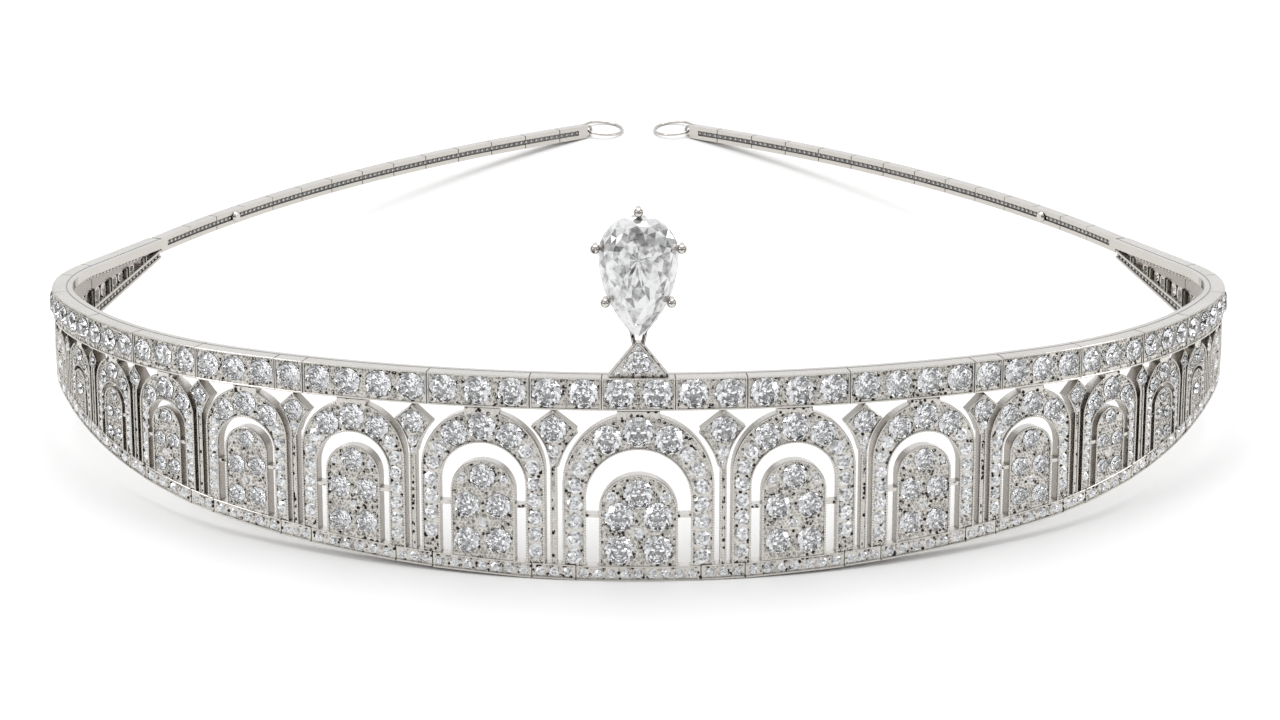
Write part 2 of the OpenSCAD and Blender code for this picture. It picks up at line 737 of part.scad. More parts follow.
module plate_seat() {
    rotate_extrude()
        polygon([[0, 0.7], [plate_stone_r + seat_gap, 0.7], [plate_stone_r + seat_gap, -0.09],
            [0.8, -0.8], [0.8, -3], [0, -3]]);
}

METAL = [0.8, 0.79, 0.76];
BRIGHT = [0.86, 0.85, 0.83];
STONE = [0.93, 0.94, 0.96];

module arch_centre() { color(METAL) rest_pose() arch(0, RIGHT); }
module arch_right_1() { color(METAL) rest_pose() arch(1, RIGHT); }
module arch_right_2() { color(METAL) rest_pose() arch(2, RIGHT); }
module arch_right_3() { color(METAL) rest_pose() arch(3, RIGHT); }
module arch_right_4() { color(METAL) rest_pose() arch(4, RIGHT); }
module arch_right_5() { color(METAL) rest_pose() arch(5, RIGHT); }
module arch_right_6() { color(METAL) rest_pose() arch(6, RIGHT); }
module arch_right_7() { color(METAL) rest_pose() arch(7, RIGHT); }
module arch_right_8() { color(METAL) rest_pose() arch(8, RIGHT); }
module arch_left_1() { color(METAL) rest_pose() arch(1, LEFT); }
module arch_left_2() { color(METAL) rest_pose() arch(2, LEFT); }
module arch_left_3() { color(METAL) rest_pose() arch(3, LEFT); }
module arch_left_4() { color(METAL) rest_pose() arch(4, LEFT); }
module arch_left_5() { color(METAL) rest_pose() arch(5, LEFT); }
module arch_left_6() { color(METAL) rest_pose() arch(6, LEFT); }
module arch_left_7() { color(METAL) rest_pose() arch(7, LEFT); }
module arch_left_8() { color(METAL) rest_pose() arch(8, LEFT); }
module spear_right_1() { color(METAL) rest_pose() spear(1, RIGHT); }
module spear_right_2() { color(METAL) rest_pose() spear(2, RIGHT); }
module spear_right_3() { color(METAL) rest_pose() spear(3, RIGHT); }
module spear_right_4() { color(METAL) rest_pose() spear(4, RIGHT); }
module spear_right_5() { color(METAL) rest_pose() spear(5, RIGHT); }
module spear_right_6() { color(METAL) rest_pose() spear(6, RIGHT); }
module spear_right_7() { color(METAL) rest_pose() spear(7, RIGHT); }
module spear_right_8() { color(METAL) rest_pose() spear(8, RIGHT); }
module spear_left_1() { color(METAL) rest_pose() spear(1, LEFT); }
module spear_left_2() { color(METAL) rest_pose() spear(2, LEFT); }
module spear_left_3() { color(METAL) rest_pose() spear(3, LEFT); }
module spear_left_4() { color(METAL) rest_pose() spear(4, LEFT); }
module spear_left_5() { color(METAL) rest_pose() spear(5, LEFT); }
module spear_left_6() { color(METAL) rest_pose() spear(6, LEFT); }
module spear_left_7() { color(METAL) rest_pose() spear(7, LEFT); }
module spear_left_8() { color(METAL) rest_pose() spear(8, LEFT); }
module corner_right() { color(METAL) rest_pose() turn_plate(corner_s, side_s, RIGHT, 1, 1); }
module corner_left() { color(METAL) rest_pose() turn_plate(corner_s, side_s, LEFT, 1, 1); }
module side_end_right() { color(METAL) rest_pose() turn_plate(side_s, join_s, RIGHT, 4, 4); }
module side_end_left() { color(METAL) rest_pose() turn_plate(side_s, join_s, LEFT, 4, 4); }
module band_right() { color(METAL) rest_pose() band(RIGHT); }
module band_left() { color(METAL) rest_pose() band(LEFT); }
module rail_centre() { color(BRIGHT) rest_pose() rail(rail_gap - rail_end, rail_end - rail_gap); }
module rail_right() { color(BRIGHT) rest_pose() rail(rail_end + rail_gap, rail_n); }
module rail_left() { color(BRIGHT) rest_pose() rail(-rail_n, -rail_end - rail_gap); }
module rear_band_right() { color(BRIGHT) rest_pose() rear_band(RIGHT); }
module rear_band_left() { color(BRIGHT) rest_pose() rear_band(LEFT); }
module end_ring_right() { color(BRIGHT) rest_pose() end_ring(RIGHT); }
module end_ring_left() { color(BRIGHT) rest_pose() end_ring(LEFT); }
module rivet_right() { color(BRIGHT) rest_pose() rivet(RIGHT); }
module rivet_left() { color(BRIGHT) rest_pose() rivet(LEFT); }
module pear_diamond() { color(STONE) rest_pose() pear_stone(); }

// Centre link with the setting of the pear shaped stone
module pear_setting() {
    color(METAL) rest_pose()
        difference() {
            setting();
            for (n = [-0.5, 0.5])
                on_face(1 / front_r, n * 2 * band_s(0.5), -band_stone_z, 0) open_seat(stone_r(0));
        }
}

module plate_diamond() {
    color(STONE) rest_pose()
        translate([0, plate_y, plate_stone_z]) rotate([90, 0, 0]) round_stone(plate_stone_r);
}

module band_diamonds() {
    color(STONE) rest_pose() {
        for (n = [-0.5, 0.5])
            on_face(1 / front_r, n * 2 * band_s(0.5), -band_stone_z, 0) round_stone(stone_r(0));
        for (side = [LEFT, RIGHT])
            for (i = [0:len(CUTS) - 2]) {
                s = (band_s(CUTS[i]) + band_s(CUTS[i + 1])) / 2;
                c = bend(band_s(CUTS[i]), band_s(CUTS[i + 1]));
                on_wall(s, side)
                    for (n = [CUTS[i]:CUTS[i + 1] - 1])
                        on_face(c, side * (band_s(n + 0.5) - s), -band_stone_z, 0) round_stone(stone_r(n));
            }
    }
}

// Places the stones of every arch that has its own
module in_arches(niche) {
    for (k = [0:STONED])
        for (side = k == 0 ? [RIGHT] : [LEFT, RIGHT]) {
            c = k == 0 ? 1 / front_r : bend(spear_s(k), spear_s(k + 1));
            on_wall(bay_s(k), side)
                for (p = niche ? (has_niche(k) ? niche_stones(k) : []) : crown_stones(k))
                    on_face(c, p[0], p[1], panel_set) round_stone(p[2]);
        }
}

module arch_diamonds() { color(STONE) rest_pose() in_arches(false); }
module niche_diamonds() { color(STONE) rest_pose() in_arches(true); }
module spear_diamonds() {
    color(STONE) rest_pose()
        for (k = [1:STONED])
            for (side = [LEFT, RIGHT])
                on_wall(spear_s(k), side)
                    on_face(spear_bend(k), 0, spear_stone_z(k), panel_set) round_stone(spear_r(k));
}

arch_centre();
arch_right_1();
arch_right_2();
arch_right_3();
arch_right_4();
arch_right_5();
arch_right_6();
arch_right_7();
arch_right_8();
arch_left_1();
arch_left_2();
arch_left_3();
arch_left_4();
arch_left_5();
arch_left_6();
arch_left_7();
arch_left_8();
spear_right_1();
spear_right_2();
spear_right_3();
spear_right_4();
spear_right_5();
spear_right_6();
spear_right_7();
spear_right_8();
spear_left_1();
spear_left_2();
spear_left_3();
spear_left_4();
spear_left_5();
spear_left_6();
spear_left_7();
spear_left_8();
corner_right();
corner_left();
side_end_right();
side_end_left();
band_right();
band_left();
rail_centre();
rail_right();
rail_left();
rear_band_right();
rear_band_left();
end_ring_right();
end_ring_left();
rivet_right();
rivet_left();
pear_setting();
pear_diamond();
plate_diamond();
band_diamonds();
arch_diamonds();
niche_diamonds();
spear_diamonds();
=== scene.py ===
"""Looks of a platinum and diamond diadem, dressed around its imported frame.

The wall is described upright and flat, in millimetres, and each detail is then bent along the
plan of the wall and leaned back into the pose in which the diadem rests.
"""

import json
import logging
import math
import random
from collections.abc import Callable, Sequence
from dataclasses import dataclass
from enum import Enum

import bpy
import numpy as np
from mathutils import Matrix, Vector


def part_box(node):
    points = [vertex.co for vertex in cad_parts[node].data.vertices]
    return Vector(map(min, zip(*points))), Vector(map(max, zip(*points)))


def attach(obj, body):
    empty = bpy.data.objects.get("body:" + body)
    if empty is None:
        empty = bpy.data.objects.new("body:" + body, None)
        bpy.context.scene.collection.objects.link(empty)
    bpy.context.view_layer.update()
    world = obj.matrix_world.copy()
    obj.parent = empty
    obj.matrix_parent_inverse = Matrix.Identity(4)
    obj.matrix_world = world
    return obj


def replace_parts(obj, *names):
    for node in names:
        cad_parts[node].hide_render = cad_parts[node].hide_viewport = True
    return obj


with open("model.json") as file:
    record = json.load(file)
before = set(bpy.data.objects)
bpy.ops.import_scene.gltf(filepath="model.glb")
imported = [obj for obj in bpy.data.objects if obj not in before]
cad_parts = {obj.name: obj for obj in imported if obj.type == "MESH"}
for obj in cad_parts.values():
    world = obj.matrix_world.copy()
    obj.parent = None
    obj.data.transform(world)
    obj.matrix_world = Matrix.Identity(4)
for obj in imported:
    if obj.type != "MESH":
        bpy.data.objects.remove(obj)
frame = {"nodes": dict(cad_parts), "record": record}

LOG = logging.getLogger("diadem")
MM = 0.001
BODY = "root"
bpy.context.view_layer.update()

Line = list[tuple[float, float]]
Tint = tuple[float, float, float]
Mask = Callable[[np.ndarray, np.ndarray], np.ndarray]


class Slot(Enum):
    """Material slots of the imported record."""

    BAND = "platinum_band"
    ARCHES = "platinum_arches"
    SPEARS = "platinum_spears"
    SETTING = "platinum_setting"
    POLISHED = "platinum_polished"
    WIRE = "platinum_wire"
    DIAMOND = "diamond"


class Side(Enum):
    """Halves of the diadem, as the sign of X."""

    LEFT = -1
    RIGHT = 1


@dataclass(frozen=True)
class Plan:
    """Plan of the wall's outer face, seen from above.

    Attributes:
        arcs: Length and radius of each arc from the middle to the side, where 0 is straight.
        rear_r: Radius of the long rear bands.
        rear_len: Length of each rear band.
        rear_end_x: Distance from the middle to the end of each rear band.
        corner_len: Length of the plain corner where the top and the bottom band meet.
    """

    arcs: tuple[tuple[float, float], ...] = ((55.5, 125.5), (39.1, 54.4), (18.4, 20.7), (17.3, 0.0))
    rear_r: float = 189.0
    rear_len: float = 99.0
    rear_end_x: float = 9.5
    corner_len: float = 6.1

    @property
    def join_s(self) -> float:
        """Length of the wall from the middle to the rear band."""
        return sum(length for length, _ in self.arcs)

    @property
    def side_s(self) -> float:
        """Length of the wall from the middle to the straight side."""
        return self.join_s - self.arcs[-1][0]

    @property
    def corner_s(self) -> float:
        """Length of the wall from the middle to the plain corner."""
        return self.side_s - self.corner_len

    @staticmethod
    def run(point: tuple[float, float, float], radius: float, length: float) -> tuple[float, float, float]:
        """Runs along one arc.

        Args:
            point: X, Y and heading in radians at its start.
            radius: Radius of the arc, or 0 where it is straight.
            length: Length to run.

        Returns:
            X, Y and heading at its end.
        """
        x, y, turn = point
        if not radius:
            return x + length * math.cos(turn), y + length * math.sin(turn), turn
        end = turn + length / radius
        return (x + radius * (math.sin(end) - math.sin(turn)),
                y - radius * (math.cos(end) - math.cos(turn)), end)

    def at(self, s: float) -> tuple[float, float, float]:
        """Gives the place of the outer face.

        Args:
            s: Length along the wall from the middle of the front.

        Returns:
            X, Y and heading in radians.
        """
        point = (0.0, 0.0, 0.0)
        for length, radius in self.arcs:
            if s <= length:
                return self.run(point, radius, s)
            point = self.run(point, radius, length)
            s -= length
        angle = self.rear_len / self.rear_r
        chord = 2 * self.rear_r * math.sin(angle / 2)
        heading = math.acos((self.rear_end_x - point[0]) / chord) - angle / 2
        return self.run((point[0], point[1], heading), self.rear_r, s)

    def bend(self, start: float, end: float) -> float:
        """Gives the mean curvature of the wall.

        Args:
            start: Length along the wall where the stretch starts.
            end: Length along the wall where it ends.

        Returns:
            Curvature in one over millimetres.
        """
        return (self.at(end)[2] - self.at(start)[2]) / (end - start)


@dataclass(frozen=True)
class Wall:
    """Heights and depths of the wall, and the pose in which it rests."""

    plan: Plan = Plan()
    front_h: float = 27.75
    side_h: float = 2.94
    bottom_bow: float = 0.064
    band_h: float = 4.44
    band_t: float = 1.75
    foot_h: float = 2.1
    rear_h: float = 2.1
    rear_in: float = 0.3
    rear_t: float = 1.6
    panel_set: float = 0.12
    panel_t: float = 1.5
    link_gap: float = 0.12
    seam_gap: float = 0.13
    frame_h: float = 1.2
    end_flat: float = 0.2
    straight: float = 0.002

    @property
    def end_s(self) -> float:
        """Length from the middle of the front to the end of a rear band."""
        return self.plan.join_s + self.plan.rear_len

    @property
    def lean(self) -> float:
        """Angle by which the wall leans back, in radians."""
        return math.atan((self.front_h - self.rear_h + self.end_flat) / self.plan.at(self.end_s)[1])

    @property
    def shift_y(self) -> float:
        """Y of the middle of the top rim, taken from the rail behind it."""
        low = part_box("rail_centre")[0].y / MM
        behind = self.band_t + self.seam_gap
        return low - behind * math.cos(self.lean) + self.frame_h * math.sin(self.lean)

    def floor_z(self, s: float) -> float:
        """Gives the height of the bottom edge below the top rim.

        Args:
            s: Length along the wall.

        Returns:
            Z in the upright wall.
        """
        t = self.plan.at(s)[1] / self.plan.at(self.plan.join_s)[1]
        return -self.front_h + (self.front_h - self.side_h) * ((1 + self.bottom_bow) * t - self.bottom_bow * t * t)

    def slope(self, s: float) -> float:
        """Gives the slope of the bottom edge at a length along the wall."""
        return self.floor_z(s + 0.5) - self.floor_z(s - 0.5)

    def rest(self, points: np.ndarray) -> np.ndarray:
        """Turns points of the upright wall into the resting pose.

        Args:
            points: Rows of X, Y and Z in millimetres.

        Returns:
            Rows of X, Y and Z in metres.
        """
        c, s = math.cos(self.lean), math.sin(self.lean)
        x, y, z = points[:, 0], points[:, 1], points[:, 2]
        return np.stack([x, y * c + z * s + self.shift_y, z * c - y * s + self.front_h * c], 1) * MM


@dataclass(frozen=True)
class Patch:
    """A stretch of wall with flat coordinates: x along it, z up and n out of its face.

    Attributes:
        wall: Wall that it belongs to.
        s: Length along the wall where x is 0.
        side: Half of the diadem.
        curve: Curvature of the stretch.
        depth: Depth of its face behind the wall's outer face.
        inward: Whether the face looks into the diadem.
    """

    wall: Wall
    s: float
    side: Side
    curve: float
    depth: float
    inward: bool = False

    def chord(self, u: float) -> float:
        """Gives the flat x of a place that lies u along the outer face."""
        if self.curve < self.wall.straight:
            return u
        return (1 / self.curve - self.depth) * math.sin(u * self.curve)

    def frames(self, x: np.ndarray, z: np.ndarray, n: np.ndarray) -> tuple[np.ndarray, np.ndarray]:
        """Gives places on the patch and the directions there.

        Args:
            x: Distances along the patch.
            z: Heights.
            n: Distances out of the face.

        Returns:
            Points in the upright wall, and for each the directions along, up and outward.
        """
        facing = -1 if self.inward else 1
        x, n = x * facing, n * facing
        if self.curve < self.wall.straight:
            turn = np.zeros_like(x)
            flat = np.stack([x, self.depth - n, z], 1)
        else:
            radius = 1 / self.curve
            turn = np.arcsin(np.clip(x / (radius - self.depth), -1, 1))
            out = radius - self.depth + n
            flat = np.stack([out * np.sin(turn), radius - out * np.cos(turn), z], 1)
        px, py, heading = self.wall.plan.at(self.s)
        heading *= self.side.value
        c, s = math.cos(heading), math.sin(heading)
        points = np.stack([flat[:, 0] * c - flat[:, 1] * s + self.side.value * px,
                           flat[:, 0] * s + flat[:, 1] * c + py, flat[:, 2]], 1)
        turn = turn + heading
        zero, one = np.zeros_like(turn), np.ones_like(turn)
        along = np.stack([np.cos(turn), np.sin(turn), zero], 1)
        outward = np.stack([np.sin(turn), -np.cos(turn), zero], 1)
        up = np.stack([zero, zero, one], 1)
        return points, np.stack([along * facing, up, outward * facing], 1)

    def place(self, x: np.ndarray, z: np.ndarray, n: np.ndarray) -> np.ndarray:
        """Gives points of the patch in the resting pose, in metres."""
        return self.wall.rest(self.frames(x, z, n)[0])


@dataclass
class Shape:
    """A small mesh that is placed many times: points, triangles and a shade for each triangle."""

    points: np.ndarray
    faces: np.ndarray
    tones: np.ndarray


class Heap:
    """Many small meshes gathered into one piece."""

    def __init__(self, name: str) -> None:
        """Starts an empty piece with a name."""
        self.name = name
        self.points: list[np.ndarray] = []
        self.faces: list[np.ndarray] = []
        self.tones: list[np.ndarray] = []
        self.count = 0

    def add(self, points: np.ndarray, faces: np.ndarray, tones: np.ndarray | None = None) -> None:
        """Adds a mesh.

        Args:
            points: Rows of X, Y and Z in metres.
            faces: Rows of three point numbers.
            tones: Shade of each face, or None for plain ones.
        """
        self.points.append(points)
        self.faces.append(faces + self.count)
        self.tones.append(np.zeros(len(faces)) if tones is None else tones)
        self.count += len(points)

    def stamp(self, shape: Shape, patch: Patch, x: np.ndarray, z: np.ndarray, n: np.ndarray,
              size: np.ndarray, spin: np.ndarray, tone: np.ndarray) -> None:
        """Places one shape many times on a patch.

        Args:
            shape: Shape of unit size, with its third axis outward.
            patch: Patch to place it on.
            x: Distances along the patch.
            z: Heights.
            n: Distances out of the face.
            size: Size of each copy in millimetres.
            spin: Turn of each copy about its outward axis, in radians.
            tone: Shade that is added to each copy.
        """
        if not len(x):
            return
        origin, basis = patch.frames(x, z, n)
        c, s = np.cos(spin)[:, None], np.sin(spin)[:, None]
        px, py, pz = (shape.points[None, :, i] for i in range(3))
        flat = np.stack([px * c - py * s, px * s + py * c, np.broadcast_to(pz, (len(x), pz.shape[1]))], 2)
        points = origin[:, None, :] + np.einsum("nkj,nji->nki", flat * size[:, None, None], basis)
        faces = shape.faces[None] + (np.arange(len(x)) * len(shape.points))[:, None, None]
        tones = shape.tones[None] + tone[:, None]
        self.add(patch.wall.rest(points.reshape(-1, 3)), faces.reshape(-1, 3), tones.reshape(-1))

    def piece(self, slot: Slot, material: bpy.types.Material, smooth: bool) -> bpy.types.Object:
        """Makes the piece.

        Args:
            slot: Material slot of the piece; not used.
            material: Its material.
            smooth: Whether its faces are shaded smooth.

        Returns:
            The new object, which rides on the diadem.
        """
        points = np.concatenate(self.points)
        faces = np.concatenate(self.faces)
        mesh = bpy.data.meshes.new(self.name)
        mesh.vertices.add(len(points))
        mesh.vertices.foreach_set("co", points.astype(np.float32).ravel())
        mesh.loops.add(3 * len(faces))
        mesh.loops.foreach_set("vertex_index", faces.astype(np.int32).ravel())
        mesh.polygons.add(len(faces))
        mesh.polygons.foreach_set("loop_start", np.arange(0, 3 * len(faces), 3, dtype=np.int32))
        mesh.polygons.foreach_set("use_smooth", np.full(len(faces), smooth))
        mesh.update(calc_edges=True)
        shade = mesh.attributes.new("tone", "FLOAT", "FACE")
        shade.data.foreach_set("value", np.concatenate(self.tones).astype(np.float32))
        mesh.materials.append(material)
        piece = bpy.data.objects.new(self.name, mesh)
        bpy.context.scene.collection.objects.link(piece)
        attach(piece, BODY)
        LOG.info("%s: %d triangles", self.name, len(faces))
        return piece


@dataclass(frozen=True)
class Cut:
    """Proportions of an old brilliant cut, as parts of its radius.

    Attributes:
        sides: Number of main facets around the crown.
        table: Size of the table.
        crown: Height of the table above the girdle.
        girdle: Height of the girdle.
        pavilion: Depth of the culet below the girdle.
        culet: Size of the culet.
        mid: Size of the ring where the star facets meet the girdle facets.
        low: Size of the ring where the lower facets meet.
    """

    sides: int = 8
    table: float = 0.56
    crown: float = 0.36
    girdle: float = 0.05
    pavilion: float = 0.78
    culet: float = 0.07
    mid: float = 0.8
    low: float = 0.42

    def outline(self, turn: float) -> tuple[float, float]:
        """Gives the point of the girdle at a part of a full turn."""
        return math.cos(math.tau * turn), math.sin(math.tau * turn)

    def shape(self) -> Shape:
        """Makes the stone, with its girdle's upper edge at height 0.

        Returns:
            The closed stone, with a shade for each facet.
        """
        n = self.sides
        part = 0.5 / n
        slope = (1 - self.mid * math.cos(math.pi / n)) / (1 - self.table)
        depth = self.girdle + self.pavilion
        rise = (self.low * math.cos(math.pi / n) - self.culet) / (1 - self.culet)
        rings = [
            [(self.table, 2 * i, self.crown) for i in range(n)],
            [(self.mid, 2 * i + 1, self.crown * slope) for i in range(n)],
            [(1.0, i, 0.0) for i in range(2 * n)],
            [(1.0, i, -self.girdle) for i in range(2 * n)],
            [(self.low, 2 * i + 1, self.pavilion * rise - depth) for i in range(n)],
            [(self.culet, 2 * i, -depth) for i in range(n)],
        ]
        table, star, upper, lower, pavilion, culet = (sum(len(r) for r in rings[:i]) for i in range(6))
        points = np.array([(size * self.outline(i * part)[0], size * self.outline(i * part)[1], z)
                           for ring in rings for size, i, z in ring])
        facets: list[tuple[int, ...]] = [tuple(table + i for i in range(n)),
                                         tuple(culet + i for i in range(n - 1, -1, -1))]
        for i in range(n):
            j, back = (i + 1) % n, (i - 1) % n
            even, odd, after = 2 * i, 2 * i + 1, (2 * i + 2) % (2 * n)
            facets += [(table + i, star + i, table + j),
                       (table + i, star + back, upper + even, star + i),
                       (star + i, upper + even, upper + odd),
                       (star + i, upper + odd, upper + after),
                       (upper + even, lower + even, lower + odd, upper + odd),
                       (upper + odd, lower + odd, lower + after, upper + after),
                       (pavilion + i, lower + odd, lower + even),
                       (pavilion + i, lower + after, lower + odd),
                       (culet + i, pavilion + i, lower + even, pavilion + back),
                       (culet + j, pavilion + i, culet + i)]
        rng = random.Random(n)
        faces, tones = [], []
        for facet in facets:
            shade = rng.random()
            for i in range(1, len(facet) - 1):
                faces.append((facet[0], facet[i], facet[i + 1]))
                tones.append(shade)
        return Shape(points, np.array(faces), np.array(tones))


@dataclass(frozen=True)
class PearCut(Cut):
    """Proportions of a pear shaped brilliant cut, in millimetres.

    Attributes:
        wide: Half of its width.
        high: Its height.
        middle: Height of the middle of its facets below the middle of its round end.
        front: Size, height as a part of the crown's, and turn of each ring of corners on its front.
        jitter: How unevenly the corners are placed.
        edge_tone: Shade of the narrow facets along its girdle.
    """

    sides: int = 22
    crown: float = 1.6
    girdle: float = 0.25
    pavilion: float = 3.5
    wide: float = 5.15
    high: float = 16.5
    middle: float = 0.6
    front: tuple[tuple[float, float, float], ...] = ((1.0, 0.0, 0.0), (0.965, 0.1, 0.5), (0.87, 0.42, 0.0),
                                                     (0.77, 0.75, 0.5),
                                                     (0.64, 0.97, 0.0), (0.5, 1.0, 0.5), (0.36, 1.0, 0.0),
                                                     (0.22, 1.0, 0.5), (0.09, 1.0, 0.0))
    edge_tone: float = 0.11
    jitter: float = 0.3

    @property
    def flank(self) -> float:
        """Radius of the two arcs that meet at the point."""
        drop = self.high - self.wide
        return (self.wide ** 2 + drop ** 2) / (2 * self.wide)

    def outline(self, turn: float) -> tuple[float, float]:
        """Gives the point of the girdle at a part of a full turn.

        Args:
            turn: From 0 at the right side, through a quarter at the top.

        Returns:
            X and height from the middle of its facets.
        """
        if turn <= 0.5:
            angle = math.tau * turn
            return self.wide * math.cos(angle), self.wide * math.sin(angle) + self.middle
        part = (turn - 0.5) * 2
        way = -1 if part < 0.5 else 1
        full = math.asin((self.high - self.wide) / self.flank)
        angle = full * (2 * part if part < 0.5 else 2 - 2 * part)
        return way * (self.wide - self.flank + self.flank * math.cos(angle)), self.middle - self.flank * math.sin(angle)

    def shape(self) -> Shape:
        """Makes the stone, with the facets that are seen through its table on its front.

        Returns:
            The closed stone, with a shade for each facet.
        """
        rng = random.Random(self.sides)
        n = self.sides
        points = []
        for level, (size, rise, turn) in enumerate(self.front):
            loose = self.jitter if level > 1 else 0.0
            for i in range(n):
                x, z = self.outline(((i + turn + rng.uniform(-1, 1) * loose) / n) % 1.0)
                reach = size * (1 + rng.uniform(-1, 1) * loose * 0.16)
                points.append((reach * x, reach * z, self.crown * rise + rng.uniform(-1, 0) * loose * 0.2))
        points.append((0.0, 0.0, self.crown))
        rows = [[level * n + i for i in range(n)] for level in range(len(self.front))]
        for size, rise in ((1.0, -self.girdle), (0.45, -self.girdle - 0.6 * self.pavilion)):
            rows.insert(0, [len(points) + i for i in range(n)])
            points += [(size * self.outline(i / n)[0], size * self.outline(i / n)[1], rise) for i in range(n)]
        points.append((0.0, 0.0, -self.girdle - self.pavilion))
        faces = []
        for level, (low, high) in enumerate(zip(rows, rows[1:])):
            shift = 1 if level > 2 and level % 2 == 1 else 0
            for i in range(n):
                a, b, c, d = low[i], low[(i + 1) % n], high[(i + shift) % n], high[(i + 1 + shift) % n]
                faces += [(a, b, c), (b, d, c)]
        faces += [(rows[-1][i], rows[-1][(i + 1) % n], len(self.front) * n) for i in range(n)]
        faces += [(rows[0][(i + 1) % n], rows[0][i], len(points) - 1) for i in range(n)]
        tones = np.array([rng.random() for _ in faces])
        tones[:6 * n] = self.edge_tone
        return Shape(np.array(points), np.array(faces), tones)


@dataclass(frozen=True)
class SmallCut:
    """A small stone that is shown by the facets of its crown and those seen through its table.

    Attributes:
        rings: Size, height and turn of each ring of corners, from the girdle inward.
        sides: Number of corners in a ring.
        jitter: How unevenly the corners are placed.
    """

    rings: tuple[tuple[float, float, float], ...] = ((1.0, -0.25, 0.0), (1.0, 0.02, 0.0), (0.74, 0.2, 0.5),
                                                     (0.5, 0.3, 0.0), (0.24, 0.27, 0.5))
    sides: int = 9
    jitter: float = 0.07

    def shape(self, seed: int) -> Shape:
        """Makes the stone of unit radius.

        Args:
            seed: Seed of its uneven corners and shades.

        Returns:
            The stone, open at its back.
        """
        rng = random.Random(seed)
        n = self.sides
        points = []
        for level, (size, rise, turn) in enumerate(self.rings):
            loose = self.jitter if level > 1 else 0.0
            for i in range(n):
                angle = math.tau * (i + turn + rng.uniform(-2, 2) * loose) / n
                reach = size * (1 + rng.uniform(-1, 1) * loose)
                points.append((reach * math.cos(angle), reach * math.sin(angle), rise + rng.uniform(-1, 1) * loose))
        points.append((rng.uniform(-0.05, 0.05), rng.uniform(-0.05, 0.05), 0.3))
        faces, tones = [], []
        for level in range(len(self.rings) - 1):
            shift = 1 if self.rings[level][2] > self.rings[level + 1][2] else 0
            for i in range(n):
                a, b = level * n + i, level * n + (i + 1) % n
                c = (level + 1) * n + (i + shift) % n
                d = (level + 1) * n + (i + 1 + shift) % n
                faces += [(a, b, c), (b, d, c)]
                tones += [rng.random(), rng.random()]
        last = (len(self.rings) - 1) * n
        for i in range(n):
            faces.append((last + i, last + (i + 1) % n, len(points) - 1))
            tones.append(rng.random())
        return Shape(np.array(points), np.array(faces), np.array(tones))


def bead_shape(sides: int) -> Shape:
    """Makes a round grain of unit radius that stands on its flat side.

    Args:
        sides: Number of sides.

    Returns:
        An open half ball.
    """
    rings = [(1.0, -0.3), (0.8, 0.58)]
    points = [(r * math.cos(math.tau * i / sides), r * math.sin(math.tau * i / sides), z)
              for r, z in rings for i in range(sides)]
    points.append((0.0, 0.0, 1.0))
    faces = []
    for i in range(sides):
        j = (i + 1) % sides
        for ring in range(len(rings) - 1):
            a, b = ring * sides, (ring + 1) * sides
            faces.append((a + i, a + j, b + j))
            faces.append((a + i, b + j, b + i))
        top = sides * (len(rings) - 1)
        faces.append((top + i, top + j, len(points) - 1))
    return Shape(np.array(points), np.array(faces), np.zeros(len(faces)))


@dataclass(frozen=True)
class Spot:
    """Place of a round stone on a patch: distance along the face, height and radius."""

    x: float
    z: float
    r: float


def arc(x: float, z: float, r: float, start: float, end: float, step: float = 0.45) -> Line:
    """Gives points along an arc.

    Args:
        x: Middle of the circle.
        z: Height of the middle.
        r: Radius.
        start: First angle in radians, from the side and turning up.
        end: Last angle.
        step: Longest distance between two points.

    Returns:
        Points as pairs of x and z.
    """
    count = max(3, math.ceil(abs(end - start) * r / step))
    turns = [start + (end - start) * i / count for i in range(count + 1)]
    return [(x + r * math.cos(t), z + r * math.sin(t)) for t in turns]


def shifted(line: Line, offset: float) -> Line:
    """Moves a line sideways.

    Args:
        line: Points of the line.
        offset: Distance, to the left of the way that the line runs.

    Returns:
        The moved points.
    """
    p = np.array(line)
    d = np.gradient(p, axis=0)
    d /= np.linalg.norm(d, axis=1)[:, None] + 1e-9
    return [tuple(q) for q in p + np.stack([-d[:, 1], d[:, 0]], 1) * offset]


def spaced(line: Line, pitch: float, inset: float = 0.0) -> np.ndarray:
    """Gives evenly spaced places along a line.

    Args:
        line: Points of the line.
        pitch: Distance between places.
        inset: Length that stays free at each end.

    Returns:
        Rows of x and z.
    """
    p = np.array(line)
    run = np.concatenate([[0], np.cumsum(np.linalg.norm(np.diff(p, axis=0), axis=1))])
    free = run[-1] - 2 * inset
    count = max(1, round(free / pitch))
    at = inset + (np.arange(count) + 0.5) * free / count
    return np.stack([np.interp(at, run, p[:, i]) for i in (0, 1)], 1)


